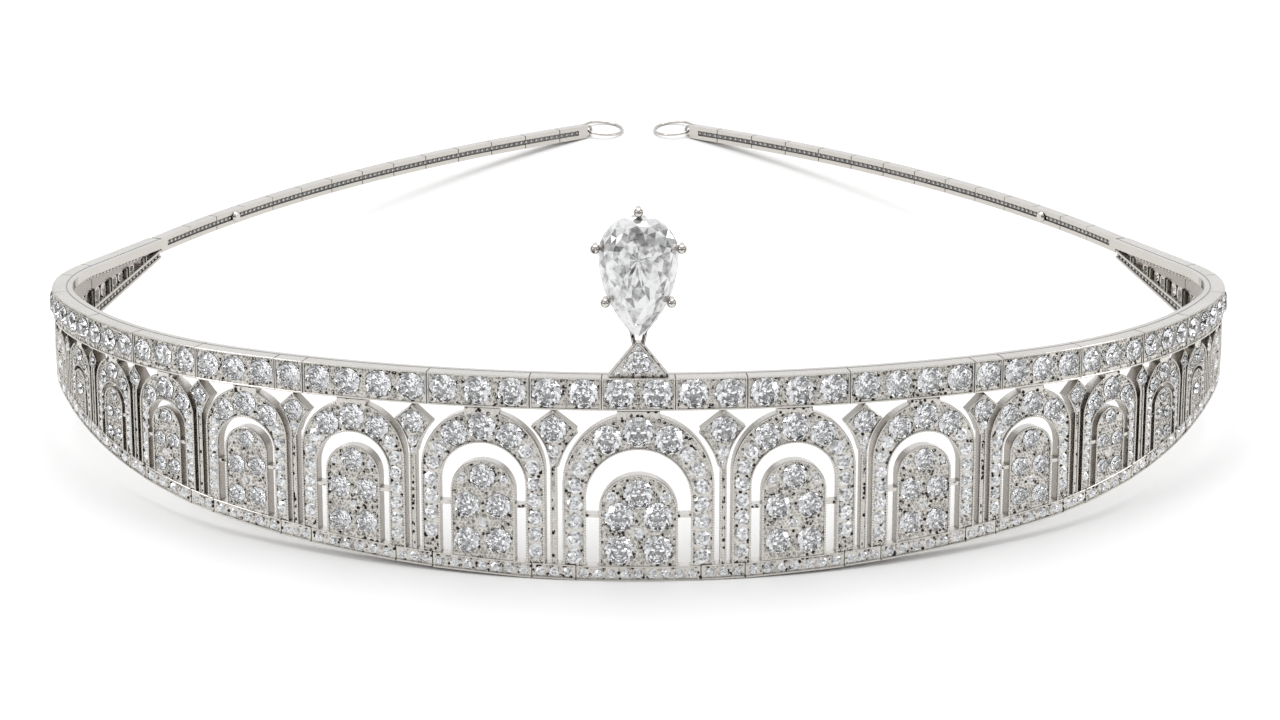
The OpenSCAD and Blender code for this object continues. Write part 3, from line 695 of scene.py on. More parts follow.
@dataclass(frozen=True)
class Finish:
    """How the raised rims, their beads and the grains between stones are cut, in millimetres.

    Attributes:
        rim_w: Width of a rim.
        rim_h: Height of a rim.
        bead_r: Radius of the beads on a rim.
        bead_pitch: Distance between them.
        grain_r: Radius of the grains between stones.
        grain_pitch: Distance between them.
        grain_gap: Room that they leave around a stone.
        back_part: Size of a stone's drilled opening, as a part of the stone.
        back_pitch: Distance between the drilled openings of a rail.
        stone_part: Size of a stone in an open seat, as a part of the stone's place.
        proud: Height of such a stone's girdle over the face.
        rail_w: Width of an inner rail, as a part of a rim's.
        back_w: Width of the collar of a drilled opening, as a part of a rim's.
        back_h: Height of inner rails and collars, as a part of a rim's.
        groove_lift: Height over its face of the dark strip that paints the shadow in a groove.
        groove_shadow_tone: Tone of that strip of painted shadow.
    """

    rim_w: float = 0.3
    rim_h: float = 0.15
    bead_r: float = 0.12
    bead_pitch: float = 0.36
    grain_r: float = 0.17
    grain_pitch: float = 0.46
    grain_gap: float = 0.05
    back_part: float = 0.62
    back_pitch: float = 0.85
    stone_part: float = 1.05
    proud: float = 0.1
    rail_w: float = 1.7
    back_w: float = 0.7
    back_h: float = 2.2
    groove_lift: float = 0.015
    groove_shadow_tone: float = 0.13


class Dressing:
    """Collects the rims, beads, grains and stones of one sub-assembly."""

    def __init__(self, name: str, slot: Slot, finish: Finish, seed: int) -> None:
        """Starts the pieces of a sub-assembly.

        Args:
            name: Name that its pieces start with.
            slot: Material slot of its metal.
            finish: How its details are cut.
            seed: Seed of its random choices.
        """
        self.slot = slot
        self.finish = finish
        self.rims = Heap(f"{name}_rims")
        self.beads = Heap(f"{name}_milgrain")
        self.grains = Heap(f"{name}_grains")
        self.stones = Heap(f"{name}_cut_stones")
        self.small = Heap(f"{name}_small_stones")
        # Stone backs and the dark strips of painted shadow share this piece, all in painted shade.
        self.backs = Heap(f"{name}_stone_backs")
        self.bead = bead_shape(6)
        self.cut = Cut().shape()
        self.small_cut = SmallCut().shape(seed)
        self.rng = np.random.default_rng(seed)

    @staticmethod
    def swept(line: Line, profile: Sequence[tuple[float, float]]) -> tuple[np.ndarray, np.ndarray, np.ndarray]:
        """Moves a line to each corner of a profile.

        Args:
            line: Points of the line.
            profile: Distance to the left and height of each corner.

        Returns:
            X, z and height of the points, one row for each corner.
        """
        rows = [np.array(shifted(line, offset)) for offset, _ in profile]
        x, z = (np.concatenate([row[:, i] for row in rows]) for i in (0, 1))
        return x, z, np.concatenate([np.full(len(line), height) for _, height in profile])

    @staticmethod
    def skin(count: int, rows: int, closed: bool = False) -> list[tuple[int, int, int]]:
        """Joins neighbouring rows of points by triangles.

        Args:
            count: Number of points in a row.
            rows: Number of rows.
            closed: Whether the last row is joined to the first one.

        Returns:
            Point numbers of each triangle.
        """
        faces = []
        for j in range(rows if closed else rows - 1):
            for i in range(count - 1):
                a, b = j * count + i, (j + 1) % rows * count + i
                faces += [(a, b, a + 1), (a + 1, b, b + 1)]
        return faces

    def rim(self, patch: Patch, line: Line, beaded: bool = True,
            width: float = 1.0, high: float = 1.0) -> None:
        """Raises a rim along a line, with a row of beads on it.

        Args:
            patch: Patch that it lies on.
            line: Points of its middle line.
            beaded: Whether it carries beads.
            width: Its width as a part of the usual one.
            high: Its height as a part of the usual one.
        """
        w, h = self.finish.rim_w * width / 2, self.finish.rim_h * high
        profile = [(w, -0.05), (w * 0.8, h * 0.8), (w * 0.3, h), (-w * 0.3, h), (-w * 0.8, h * 0.8), (-w, -0.05)]
        count, deep = len(line), len(profile)
        faces = self.skin(count, deep)
        for j in range(1, deep - 1):
            faces.append((0, (j + 1) * count, j * count))
            faces.append((count - 1, j * count + count - 1, (j + 1) * count + count - 1))
        self.rims.add(patch.place(*self.swept(line, profile)), np.array(faces))
        if beaded:
            at = spaced(line, self.finish.bead_pitch)
            size = np.full(len(at), self.finish.bead_r * min(1.0, width))
            none = np.zeros(len(at))
            self.beads.stamp(self.bead, patch, at[:, 0], at[:, 1], none + h * 0.75, size, none, none)

    def field(self, patch: Patch, low: tuple[float, float], high: tuple[float, float], inside: Mask,
              spots: list[Spot]) -> None:
        """Scatters grains over the metal between stones.

        Args:
            patch: Patch that they lie on.
            low: Lowest x and z of the field.
            high: Highest x and z of the field.
            inside: Function of x and z arrays that says which places are in the field.
            spots: Stones that the grains keep clear of.
        """
        pitch = self.finish.grain_pitch
        row = pitch * math.sqrt(3) / 2
        nx = max(1, math.ceil((high[0] - low[0]) / pitch))
        nz = max(1, math.ceil((high[1] - low[1]) / row))
        i, j = np.meshgrid(np.arange(nx + 1), np.arange(nz + 1))
        x = low[0] + (i + 0.5 * (j % 2)).ravel() * pitch
        z = low[1] + j.ravel() * row
        x = x + self.rng.uniform(-0.2, 0.2, len(x)) * pitch
        z = z + self.rng.uniform(-0.2, 0.2, len(z)) * pitch
        keep = inside(x, z)
        for spot in spots:
            clear = spot.r + self.finish.grain_gap + self.finish.grain_r * 0.6
            keep &= (x - spot.x) ** 2 + (z - spot.z) ** 2 > clear ** 2
        x, z = x[keep], z[keep]
        size = self.finish.grain_r * self.rng.uniform(0.7, 1.2, len(x))
        none = np.zeros(len(x))
        self.grains.stamp(self.bead, patch, x, z, none, size, self.rng.uniform(0, 1, len(x)), none)

    def ribbon(self, patch: Patch, line: Line, width: float) -> None:
        """Lays a dark strip along the bottom of a groove, as painted shadow.

        Args:
            patch: Patch that it lies on.
            line: Points of its middle line.
            width: Its width.
        """
        profile = [(offset, self.finish.groove_lift) for offset in (width / 2, -width / 2)]
        faces = self.skin(len(line), len(profile))
        tones = np.full(len(faces), self.finish.groove_shadow_tone)
        self.backs.add(patch.place(*self.swept(line, profile)), np.array(faces), tones)

    def rails(self, patch: Patch, low: Line, high: Line) -> None:
        """Adds two polished rails on an inner face with a drilled row between them, laid on a dark strip of painted
        shadow.

        Args:
            patch: Patch of the inner face.
            low: Points of the lower rail.
            high: Points of the upper rail, as many as of the lower one.
        """
        middle = [((a[0] + b[0]) / 2, (a[1] + b[1]) / 2) for a, b in zip(low, high)]
        gap = float(np.mean([b[1] - a[1] for a, b in zip(low, high)]))
        for line in (low, high):
            self.rim(patch, line, beaded=False, width=self.finish.rail_w, high=self.finish.back_h)
        self.ribbon(patch, middle, 0.9 * gap)
        at = spaced(middle, self.finish.back_pitch)
        none = np.zeros(len(at))
        self.beads.stamp(self.bead, patch, at[:, 0], at[:, 1], none + 0.05, none + 0.24 * gap, none, none)

    def loop(self, patch: Patch, line: Line, width: float, depth: float) -> None:
        """Adds a flat bar that follows a closed line.

        Args:
            patch: Patch that it is level with.
            line: Points of its middle line, with the first one again at the end.
            width: Its width.
            depth: How far it reaches into the wall.
        """
        profile = ((width / 2, -depth), (width / 2, 0.0), (-width / 2, 0.0), (-width / 2, -depth))
        faces = self.skin(len(line), len(profile), closed=True)
        self.rims.add(patch.place(*self.swept(line, profile)), np.array(faces))

    def open_backs(self, patch: Patch, spots: list[Spot]) -> None:
        """Shows the backs of stones in their drilled openings.

        Args:
            patch: Patch of the inner face, opposite the one that the stones are set in.
            spots: Their places on the outer face.
        """
        backs = [Spot(-spot.x, spot.z, self.finish.back_part * spot.r) for spot in spots]
        for spot in backs:
            ring = arc(spot.x, spot.z, spot.r, 0.0, math.tau, max(0.2, 0.45 * spot.r))
            self.rim(patch, ring, beaded=False, width=self.finish.back_w, high=self.finish.back_h)
        if not backs:
            return
        x, z, r = (np.array([getattr(s, name) for s in backs]) for name in ("x", "z", "r"))
        none = np.zeros(len(backs))
        spin, tone = self.rng.uniform(0, math.tau, len(backs)), self.rng.uniform(0, 1, len(backs))
        self.backs.stamp(self.small_cut, patch, x, z, none - 0.1 * r, 0.8 * r, spin, tone)

    def set_stones(self, patch: Patch, spots: list[Spot], seated: bool = True) -> None:
        """Sets round stones.

        Args:
            patch: Patch that they are set in.
            spots: Their places.
            seated: Whether the face has an open seat for each.
        """
        if not spots:
            return
        heap, cut, part, proud = self.small, self.small_cut, 1.0, 0.0
        if seated:
            heap, cut, part, proud = self.stones, self.cut, self.finish.stone_part, self.finish.proud
        x, z, r = (np.array([getattr(s, name) for s in spots]) for name in ("x", "z", "r"))
        spin = self.rng.uniform(0, math.tau, len(spots))
        tone = self.rng.uniform(0, 1, len(spots))
        heap.stamp(cut, patch, x, z, np.full(len(spots), proud), r * part, spin, tone)


@dataclass(frozen=True)
class Openwork:
    """Sizes of the arches and spears between the top band and the bottom band, in millimetres.

    Attributes:
        wall: Wall that they fill.
        shares: Share of the wall that each arch takes, from the centre to the corner.
        rail_rises: Heights of the two inner rails over the bottom edge.
        stoned: Number of the last arch whose large stones are solids of their own.
        niched: Number of the last arch with a niche.
    """

    wall: Wall
    shares: tuple[float, ...] = (20.77, 17.49, 15.62, 13.47, 11.13, 9.45, 8.05, 7.11, 7.3)
    spear_share: float = 1.2
    leg_w: float = 3.05
    crown_w: float = 4.9
    tab_w: float = 2.8
    tab_h: float = 0.3
    niche_gap: float = 1.7
    niche_drop: float = 3.35
    foot_share: float = 0.142
    crown_fill: float = 0.4
    shoulder_w: float = 3.1
    point_h: float = 2.45
    spear_gap: float = 0.75
    stem_w: float = 0.42
    spear_stone_r: float = 1.7
    rail_rises: tuple[float, float] = (0.3, 1.75)
    stoned: int = 6
    niched: int = 7

    @property
    def last(self) -> int:
        """Number of the arch beside the corner."""
        return len(self.shares) - 1

    @property
    def top(self) -> float:
        """Height of the upper ends of the arches and spears."""
        return -self.wall.band_h - self.wall.link_gap

    def bay(self, k: int) -> float:
        """Gives the length of wall that arch k takes."""
        return self.shares[k] * self.wall.plan.corner_s / (sum(self.shares) - self.shares[0] / 2)

    def spear_s(self, k: int) -> float:
        """Gives the length along the wall at which spear k stands."""
        return sum(self.bay(i) for i in range(k)) - self.bay(0) / 2

    def bay_s(self, k: int) -> float:
        """Gives the length along the wall at the middle of arch k."""
        return 0.0 if k == 0 else (self.spear_s(k) + self.spear_s(k + 1)) / 2

    def spear_arm(self, k: int) -> float:
        """Gives the distance from a spear's middle to arch k beside it."""
        return self.spear_share * (0.65 + 0.35 * self.bay(k) / self.bay(0))

    def radius(self, k: int) -> float:
        """Gives the outer radius of arch k."""
        return self.bay(k) / 2 - self.spear_arm(k)

    def grade(self, k: int) -> float:
        """Gives the size of arch k as a part of the centre arch."""
        return self.radius(k) / self.radius(0)

    def middle(self, k: int) -> float:
        """Gives the height of the middle of arch k's circle."""
        return self.top - self.tab_h * (1 + self.grade(k)) / 2 - self.radius(k)

    def foot_half(self, k: int) -> float:
        """Gives half the width of spear k's foot."""
        return self.foot_share * (self.bay(k - 1) + self.bay(min(k, self.last))) / 2

    def spear_grade(self, k: int) -> float:
        """Gives the size of spear k as a part of the first one."""
        return (self.bay(k - 1) + self.bay(min(k, self.last))) / (self.bay(0) + self.bay(1))


class ArchPanel:
    """One pierced arch with its niche and its part of the bottom band."""

    RIM_IN = 0.15
    LEG_FILL = 0.42
    FOOT_STONE = 0.66
    FOOT_PITCH = 1.72
    FOOT_END = 0.15
    FIRST_SINGLE = 6
    LAST_ACCENTED = 4

    def __init__(self, work: Openwork, k: int, side: Side) -> None:
        """Works out the sizes of an arch.

        Args:
            work: Sizes of the openwork.
            k: Number of the arch, from 0 at the centre.
            side: Half of the diadem.
        """
        wall = work.wall
        curve = 1 / wall.plan.arcs[0][1] if k == 0 else wall.plan.bend(work.spear_s(k), work.spear_s(k + 1))
        self.work, self.k, self.side = work, k, side
        self.patch = Patch(wall, work.bay_s(k), side, curve, wall.panel_set)
        self.back = Patch(wall, work.bay_s(k), side, curve, wall.panel_set + wall.panel_t, inward=True)
        self.a = work.radius(k)
        self.cz = work.middle(k)
        self.grade = work.grade(k)
        self.crown = work.crown_w * (1 + self.grade) / 2
        self.leg = work.leg_w * self.grade
        self.open_w = self.a - self.leg
        self.open_top = self.cz + self.a - self.crown
        self.niche_w = self.open_w - work.niche_gap * self.grade
        self.niche_top = self.open_top - work.niche_drop * self.grade ** 2
        self.floor = wall.floor_z(work.bay_s(k))
        self.tilt = 0.0 if k == 0 else side.value * wall.slope(work.bay_s(k))
        self.foot_top = self.floor + wall.foot_h
        self.niche_h = self.niche_top - self.foot_top
        inner = work.bay(k) / 2 - work.foot_half(max(k, 1)) - wall.link_gap / 2
        outer = work.bay(k) / 2 - work.foot_half(k + 1) - wall.link_gap / 2
        ends = (-inner, outer) if side is Side.RIGHT else (-outer, inner)
        self.foot_ends = ends

    def edge(self, turn: float) -> float:
        """Gives the radius of the opening's edge, seen from the middle of the arch.

        Args:
            turn: Angle from upright in radians.

        Returns:
            Radius in millimetres.
        """
        d = self.crown - self.leg
        return math.sqrt(max(0.0, self.open_w ** 2 - (d * math.sin(turn)) ** 2)) - d * math.cos(turn)

    def crown_spots(self) -> list[Spot]:
        """Gives the three stones of the crown."""
        arm = self.a - self.crown / 2
        r = min(self.work.crown_fill * self.crown, 0.5 * arm)
        turn = 2 * math.asin(min(0.95, (2 * r + 0.22) / (2 * arm)))
        side_arm = (self.a + self.edge(turn)) / 2
        side_r = min(r, self.work.crown_fill * (self.a - self.edge(turn)), side_arm * math.cos(turn) - 0.12)
        spots = [Spot(0.0, self.cz + arm, r)]
        for i in (-1, 1):
            x = self.patch.chord(side_arm * math.sin(i * turn))
            spots.append(Spot(x, self.cz + side_arm * math.cos(turn), side_r))
        return spots

    def niche_spots(self) -> list[Spot]:
        """Gives the large stones of the niche."""
        w, h, top = self.niche_w, self.niche_h, self.niche_top
        if self.k >= self.FIRST_SINGLE:
            return [Spot(0.0, top - 0.5 * h, min(0.5 * w, 0.3 * h))]
        r = min(0.38 * w, 0.15 * h, math.hypot(0.49 * w, 0.46 * h - 0.52 * w) / 2 - 0.08)
        spots = [Spot(0.0, top - 0.52 * w, r)]
        for drop in (0.46, 0.82):
            spots += [Spot(self.patch.chord(i * 0.49 * w), top - drop * h, r) for i in (-1, 1)]
        return spots

    def accent_spots(self) -> list[Spot]:
        """Gives the small stones between the larger ones of the niche."""
        if self.k > self.LAST_ACCENTED:
            return []
        w, h, top = self.niche_w, self.niche_h, self.niche_top
        spots = [Spot(i * 0.68 * w, top - 0.6 * w, 0.15 * w) for i in (-1, 1)]
        return spots + [Spot(0.0, top - 0.64 * h, 0.16 * w)]

    def leg_spots(self) -> list[Spot]:
        """Gives the rows of stones that run down the legs from the crown."""
        crown = self.crown_spots()[2]
        r = min(self.LEG_FILL * self.leg, 1.12)
        start = math.atan2(crown.x, crown.z - self.cz)
        turns = np.linspace(start, math.pi / 2, 24)
        line = [((self.a + self.edge(t)) / 2 * math.sin(t), self.cz + (self.a + self.edge(t)) / 2 * math.cos(t))
                for t in turns]
        x = (self.a + self.open_w) / 2
        line.append((x, self.foot_top + 0.1))
        run = [q for q in line if math.dist(q, (crown.x, crown.z)) > crown.r * 0.98]
        if len(run) < 2 or run[0][1] - run[-1][1] < 2 * r:
            return []
        at = spaced(run, 2.16 * r)
        drop = self.tilt * x
        spots = []
        for i in (-1, 1):
            for q in at:
                if q[1] > self.foot_top + i * drop + 0.9 * r:
                    spots.append(Spot(i * q[0], q[1], r))
        return spots

    def foot_spots(self) -> list[Spot]:
        """Gives the row of small stones along the bottom band."""
        low, high = self.foot_ends
        count = max(1, int((high - low - 2 * self.FOOT_END) / self.FOOT_PITCH))
        pitch = (high - low - 2 * self.FOOT_END) / count
        r = min(self.FOOT_STONE, 0.46 * pitch)
        xs = [low + self.FOOT_END + pitch * (i + 0.5) for i in range(count)]
        return [Spot(x, self.floor + self.tilt * x + self.work.wall.foot_h / 2 - 0.05, r) for x in xs]

    def bounded(self, x: np.ndarray, z: np.ndarray, half: float, top: float, margin: float) -> np.ndarray:
        """Says which places are under a round top, above the foot.

        Args:
            x: Distances along the patch.
            z: Heights.
            half: Half width of the form.
            top: Height of its top.
            margin: Distance to keep from its edge, or less than 0 to go past it.

        Returns:
            True for each place inside.
        """
        mid = top - half
        low = np.abs(x) < half - margin
        high = x ** 2 + (z - mid) ** 2 < (half - margin) ** 2
        return np.where(z > mid, high, low) & (z > self.foot_top + self.tilt * x + margin * 0.3)

    def inside(self, x: np.ndarray, z: np.ndarray) -> np.ndarray:
        """Says which places are metal that grains may cover."""
        m = 0.34
        solid = self.bounded(x, z, self.a, self.cz + self.a, m)
        solid &= ~self.bounded(x, z, self.open_w, self.open_top, -m)
        if self.k <= self.work.niched:
            solid |= self.bounded(x, z, self.niche_w, self.niche_top, m)
        rise = z - self.floor - self.tilt * x
        foot = (rise > m * 0.8) & (rise < self.work.wall.foot_h - m * 0.6)
        foot &= (x > self.foot_ends[0] + m * 0.7) & (x < self.foot_ends[1] - m * 0.7)
        return solid | foot

    def outline(self, half: float, top: float, inset: float) -> Line:
        """Gives the edge of a form with a round top that stands on the foot.

        Args:
            half: Half width of the form.
            top: Height of its top.
            inset: Distance of the line inside its edge.

        Returns:
            Points from the left foot over the top to the right foot.
        """
        w = half - inset
        mid = top - half
        left = self.foot_top - self.tilt * w
        right = self.foot_top + self.tilt * w
        line = [(-w, z) for z in np.linspace(left, mid, max(2, int((mid - left) / 0.8)), endpoint=False)]
        line += arc(0.0, mid, w, math.pi, 0.0)
        return line + [(w, z) for z in np.linspace(mid, right, max(2, int((mid - right) / 0.8)))[1:]]

    def dress(self, dressing: Dressing) -> None:
        """Adds the arch's rims, grains and stones.

        Args:
            dressing: Where they are collected.
        """
        inset = self.RIM_IN
        outer = self.outline(self.a, self.cz + self.a, inset)
        tab = self.work.tab_w * self.grade
        for sign in (-1, 1):
            half = [p for p in outer if sign * p[0] > tab * 0.9 or (sign * p[0] > 0 and p[1] < self.cz)]
            if len(half) > 2:
                dressing.rim(self.patch, half)
        dressing.rim(self.patch, self.outline(self.open_w, self.open_top, -inset))
        if self.k <= self.work.niched:
            dressing.rim(self.patch, self.outline(self.niche_w, self.niche_top, inset))
        low, high = self.foot_ends
        for rise, width in ((inset, 1.1), (self.work.wall.foot_h - inset * 0.7, 0.7)):
            xs = np.linspace(low + 0.05, high - 0.05, 12)
            dressing.rim(self.patch, [(x, self.floor + self.tilt * x + rise) for x in xs], beaded=False, width=width)
        seated = self.crown_spots() + self.niche_spots() if self.k <= self.work.stoned else []
        small = self.accent_spots() + self.leg_spots() + self.foot_spots()
        if self.k > self.work.stoned:
            small += self.crown_spots() + (self.niche_spots() if self.k <= self.work.niched else [])
        dressing.set_stones(self.patch, seated)
        dressing.set_stones(self.patch, small, seated=False)
        dressing.open_backs(self.back, seated + self.accent_spots() + self.leg_spots())
        dressing.rim(self.back, self.outline(self.open_w, self.open_top, -0.3), beaded=False, high=2.0)
        xs = np.linspace(-high + 0.05, -low - 0.05, 12)
        dressing.rails(self.back, *([(x, self.floor - self.tilt * x + rise) for x in xs]
                                    for rise in self.work.rail_rises))
        a = self.a
        low, high = (-a, self.floor - abs(self.tilt) * a), (a, self.cz + a)
        dressing.field(self.patch, low, high, self.inside, seated + small)


class Spear:
    """One spear shaped upright with its stem and its link of the bottom band."""

    BELOW = ((1.78, 0.52), (2.7, 0.3))
    LAST_WIDE = 4
    FOOT_STONE = 0.66
    FOOT_END = 0.15

    def __init__(self, work: Openwork, k: int, side: Side) -> None:
        """Works out the sizes of a spear.

        Args:
            work: Sizes of the openwork.
            k: Number of the spear, from 1 beside the centre arch.
            side: Half of the diadem.
        """
        wall = work.wall
        s = work.spear_s(k)
        curve = wall.plan.bend(s - work.shoulder_w, s + work.shoulder_w)
        self.work, self.k, self.side = work, k, side
        self.patch = Patch(wall, s, side, curve, wall.panel_set)
        self.back = Patch(wall, s, side, curve, wall.panel_set + wall.panel_t, inward=True)
        self.grade = work.spear_grade(k)
        self.next = min(k, work.last)
        self.floor = wall.floor_z(s)
        self.tilt = side.value * wall.slope(s)
        self.head = work.point_h * (1 + self.grade) / 2
        self.neck = max(work.middle(k - 1), work.middle(self.next)) + 1
        self.stone_z = work.top - 0.88 * self.head - 0.35
        self.stone_r = work.spear_stone_r * self.grade

    def half(self, z: np.ndarray, way: int) -> np.ndarray:
        """Gives the spear's half width.

        Args:
            z: Heights.
            way: 1 towards positive x, or -1.

        Returns:
            Distance from its middle line to its edge.
        """
        work = self.work
        k = self.next if way == self.side.value else self.k - 1
        a, cz = work.radius(k), work.middle(k)
        rise = np.clip(z - cz, 0, a + work.spear_gap)
        hollow = work.spear_arm(k) + a - np.sqrt(np.maximum((a + work.spear_gap) ** 2 - rise ** 2, 0))
        point = (work.top - z) * work.shoulder_w * self.grade / self.head
        return np.where(z > self.neck, np.minimum(hollow, point), work.stem_w)

    def inside(self, x: np.ndarray, z: np.ndarray) -> np.ndarray:
        """Says which places are metal that grains may cover."""
        m = 0.3
        head = (x > -self.half(z, -1) + m) & (x < self.half(z, 1) - m) & (z > self.neck)
        stem = (np.abs(x) < 0.2) & (z <= self.neck) & (z > self.neck - 3.5 * self.grade)
        rise = z - self.floor - self.tilt * x
        foot = (rise > m) & (rise < self.work.wall.foot_h - m)
        foot &= np.abs(x) < self.work.foot_half(self.k) - m
        return head | stem | foot

    def dress(self, dressing: Dressing) -> None:
        """Adds the spear's rims, grains and stones.

        Args:
            dressing: Where they are collected.
        """
        work, wall = self.work, self.work.wall
        foot_top = self.floor + wall.foot_h
        shoulder = work.top - self.head
        inset = 0.14
        for way in (-1, 1):
            zs = np.concatenate([np.linspace(work.top - 0.3, shoulder + 0.1, 6),
                                 np.linspace(shoulder - 0.1, self.neck + 0.05, 14)])
            line = [(way * max(float(h) - inset, 0.02), float(z)) for z, h in zip(zs, self.half(zs, way))]
            stem = [(way * (work.stem_w - 0.1), float(z)) for z in np.linspace(self.neck - 0.3, foot_top, 10)]
            dressing.rim(self.patch, line + stem, width=0.8)
        half = work.foot_half(self.k) - wall.link_gap / 2
        for rise, width in ((0.15, 1.1), (wall.foot_h - 0.12, 0.7)):
            xs = np.linspace(-half + 0.05, half - 0.05, 5)
            dressing.rim(self.patch, [(x, self.floor + self.tilt * x + rise) for x in xs], beaded=False, width=width)
        count = 3 if self.k <= self.LAST_WIDE else 2
        pitch = (2 * half - 2 * self.FOOT_END) / count
        r = min(self.FOOT_STONE, 0.46 * pitch)
        large = [Spot(0.0, self.stone_z, self.stone_r)]
        small = [Spot(0.0, self.stone_z - drop * self.stone_r, part * self.stone_r)
                 for drop, part in self.BELOW if self.stone_z - drop * self.stone_r > self.neck]
        for i in range(count):
            x = pitch * (i + 0.5 - count / 2)
            small.append(Spot(x, self.floor + self.tilt * x + wall.foot_h / 2 - 0.05, r))
        dressing.set_stones(self.patch, large, seated=self.k <= work.stoned)
        dressing.set_stones(self.patch, small, seated=False)
        dressing.open_backs(self.back, large + small[:-count])
        xs = np.linspace(-half + 0.05, half - 0.05, 4)
        dressing.rails(self.back, *([(x, self.floor - self.tilt * x + rise) for x in xs]
                                    for rise in work.rail_rises))
        wide = work.shoulder_w
        low, high = (-wide, self.floor - wide), (wide, work.top)
        dressing.field(self.patch, low, high, self.inside, large + small)


class TopBand:
    """The stone set band along the top, in links with fine cuts between them."""

    CUTS = (1, 3, 6, 10, 11, 14, 17, 20, 24, 27)
    FADE = 0.0065
    FILL = 0.402
    STONE_Z = 2.1
    JOINT = 0.22

    def __init__(self, wall: Wall) -> None:
        """Works out the band's pitch for a wall."""
        self.wall = wall
        count = self.CUTS[-1]
        self.pitch = wall.plan.corner_s / (count - self.FADE * count * count)

    def reach(self, n: float) -> float:
        """Gives the length along the wall at which n stones have passed."""
        return self.pitch * (n - self.FADE * n * n)

    def stone_r(self, n: int) -> float:
        """Gives the radius of stone n."""
        return self.FILL * self.pitch * (1 - self.FADE * (2 * n + 1))

    def link(self, dressing: Dressing, start: int, end: int, side: Side) -> None:
        """Dresses one link.

        Args:
            dressing: Where its details are collected.
            start: Number of stones before it.
            end: Number of stones up to its end.
            side: Half of the diadem.
        """
        wall = self.wall
        s0, s1 = self.reach(start), self.reach(end)
        s = (s0 + s1) / 2
        curve = wall.plan.bend(s0, s1)
        if start < 0:
            s, curve = 0.0, 1 / wall.plan.arcs[0][1]
        patch = Patch(wall, s, side, curve, 0.0)
        half = (s1 - s0 - wall.link_gap) / 2
        spots = []
        for n in range(start, end):
            at = side.value * (self.reach(n + 0.5) - s) if start >= 0 else (n + 0.5) * 2 * self.reach(0.5)
            spots.append(Spot(patch.chord(at), -self.STONE_Z, self.stone_r(max(n, 0))))
        self.frame(dressing, patch, half, wall.band_h, spots)
        # A dark strip over each gap between links paints the shadow inside the gap.
        for way in (-1, 1) if start < 0 else (side.value,):
            at = way * (half + wall.link_gap / 2)
            dressing.ribbon(patch, [(at, z) for z in (0.1 - wall.band_h, -wall.band_h / 2, -0.1)], self.JOINT)

    def frame(self, dressing: Dressing, patch: Patch, half: float, height: float, spots: list[Spot]) -> None:
        """Adds the rims, grains and stones of one link.

        Args:
            dressing: Where they are collected.
            patch: Patch of the link's face.
            half: Half its length.
            height: Its height.
            spots: Its stones.
        """
        xs = np.linspace(-half, half, max(4, int(half)))
        for z, beaded in ((-0.13, True), (0.16 - height, False)):
            dressing.rim(patch, [(x, z) for x in xs], beaded=beaded, width=0.9)
        for x in (-half + 0.12, half - 0.12):
            dressing.rim(patch, [(x, z) for z in np.linspace(-height + 0.2, -0.2, 4)], beaded=False, width=0.6)
        dressing.set_stones(patch, spots)

        def inside(x: np.ndarray, z: np.ndarray) -> np.ndarray:
            """Says which places of the link's face are metal."""
            return (np.abs(x) < half - 0.3) & (z < -0.38) & (z > -height + 0.4)

        dressing.field(patch, (-half, -height), (half, 0.0), inside, spots)

    def dress(self, dressing: Dressing) -> None:
        """Dresses all links but the centre one."""
        for side in Side:
            for start, end in zip(self.CUTS, self.CUTS[1:]):
                self.link(dressing, start, end, side)


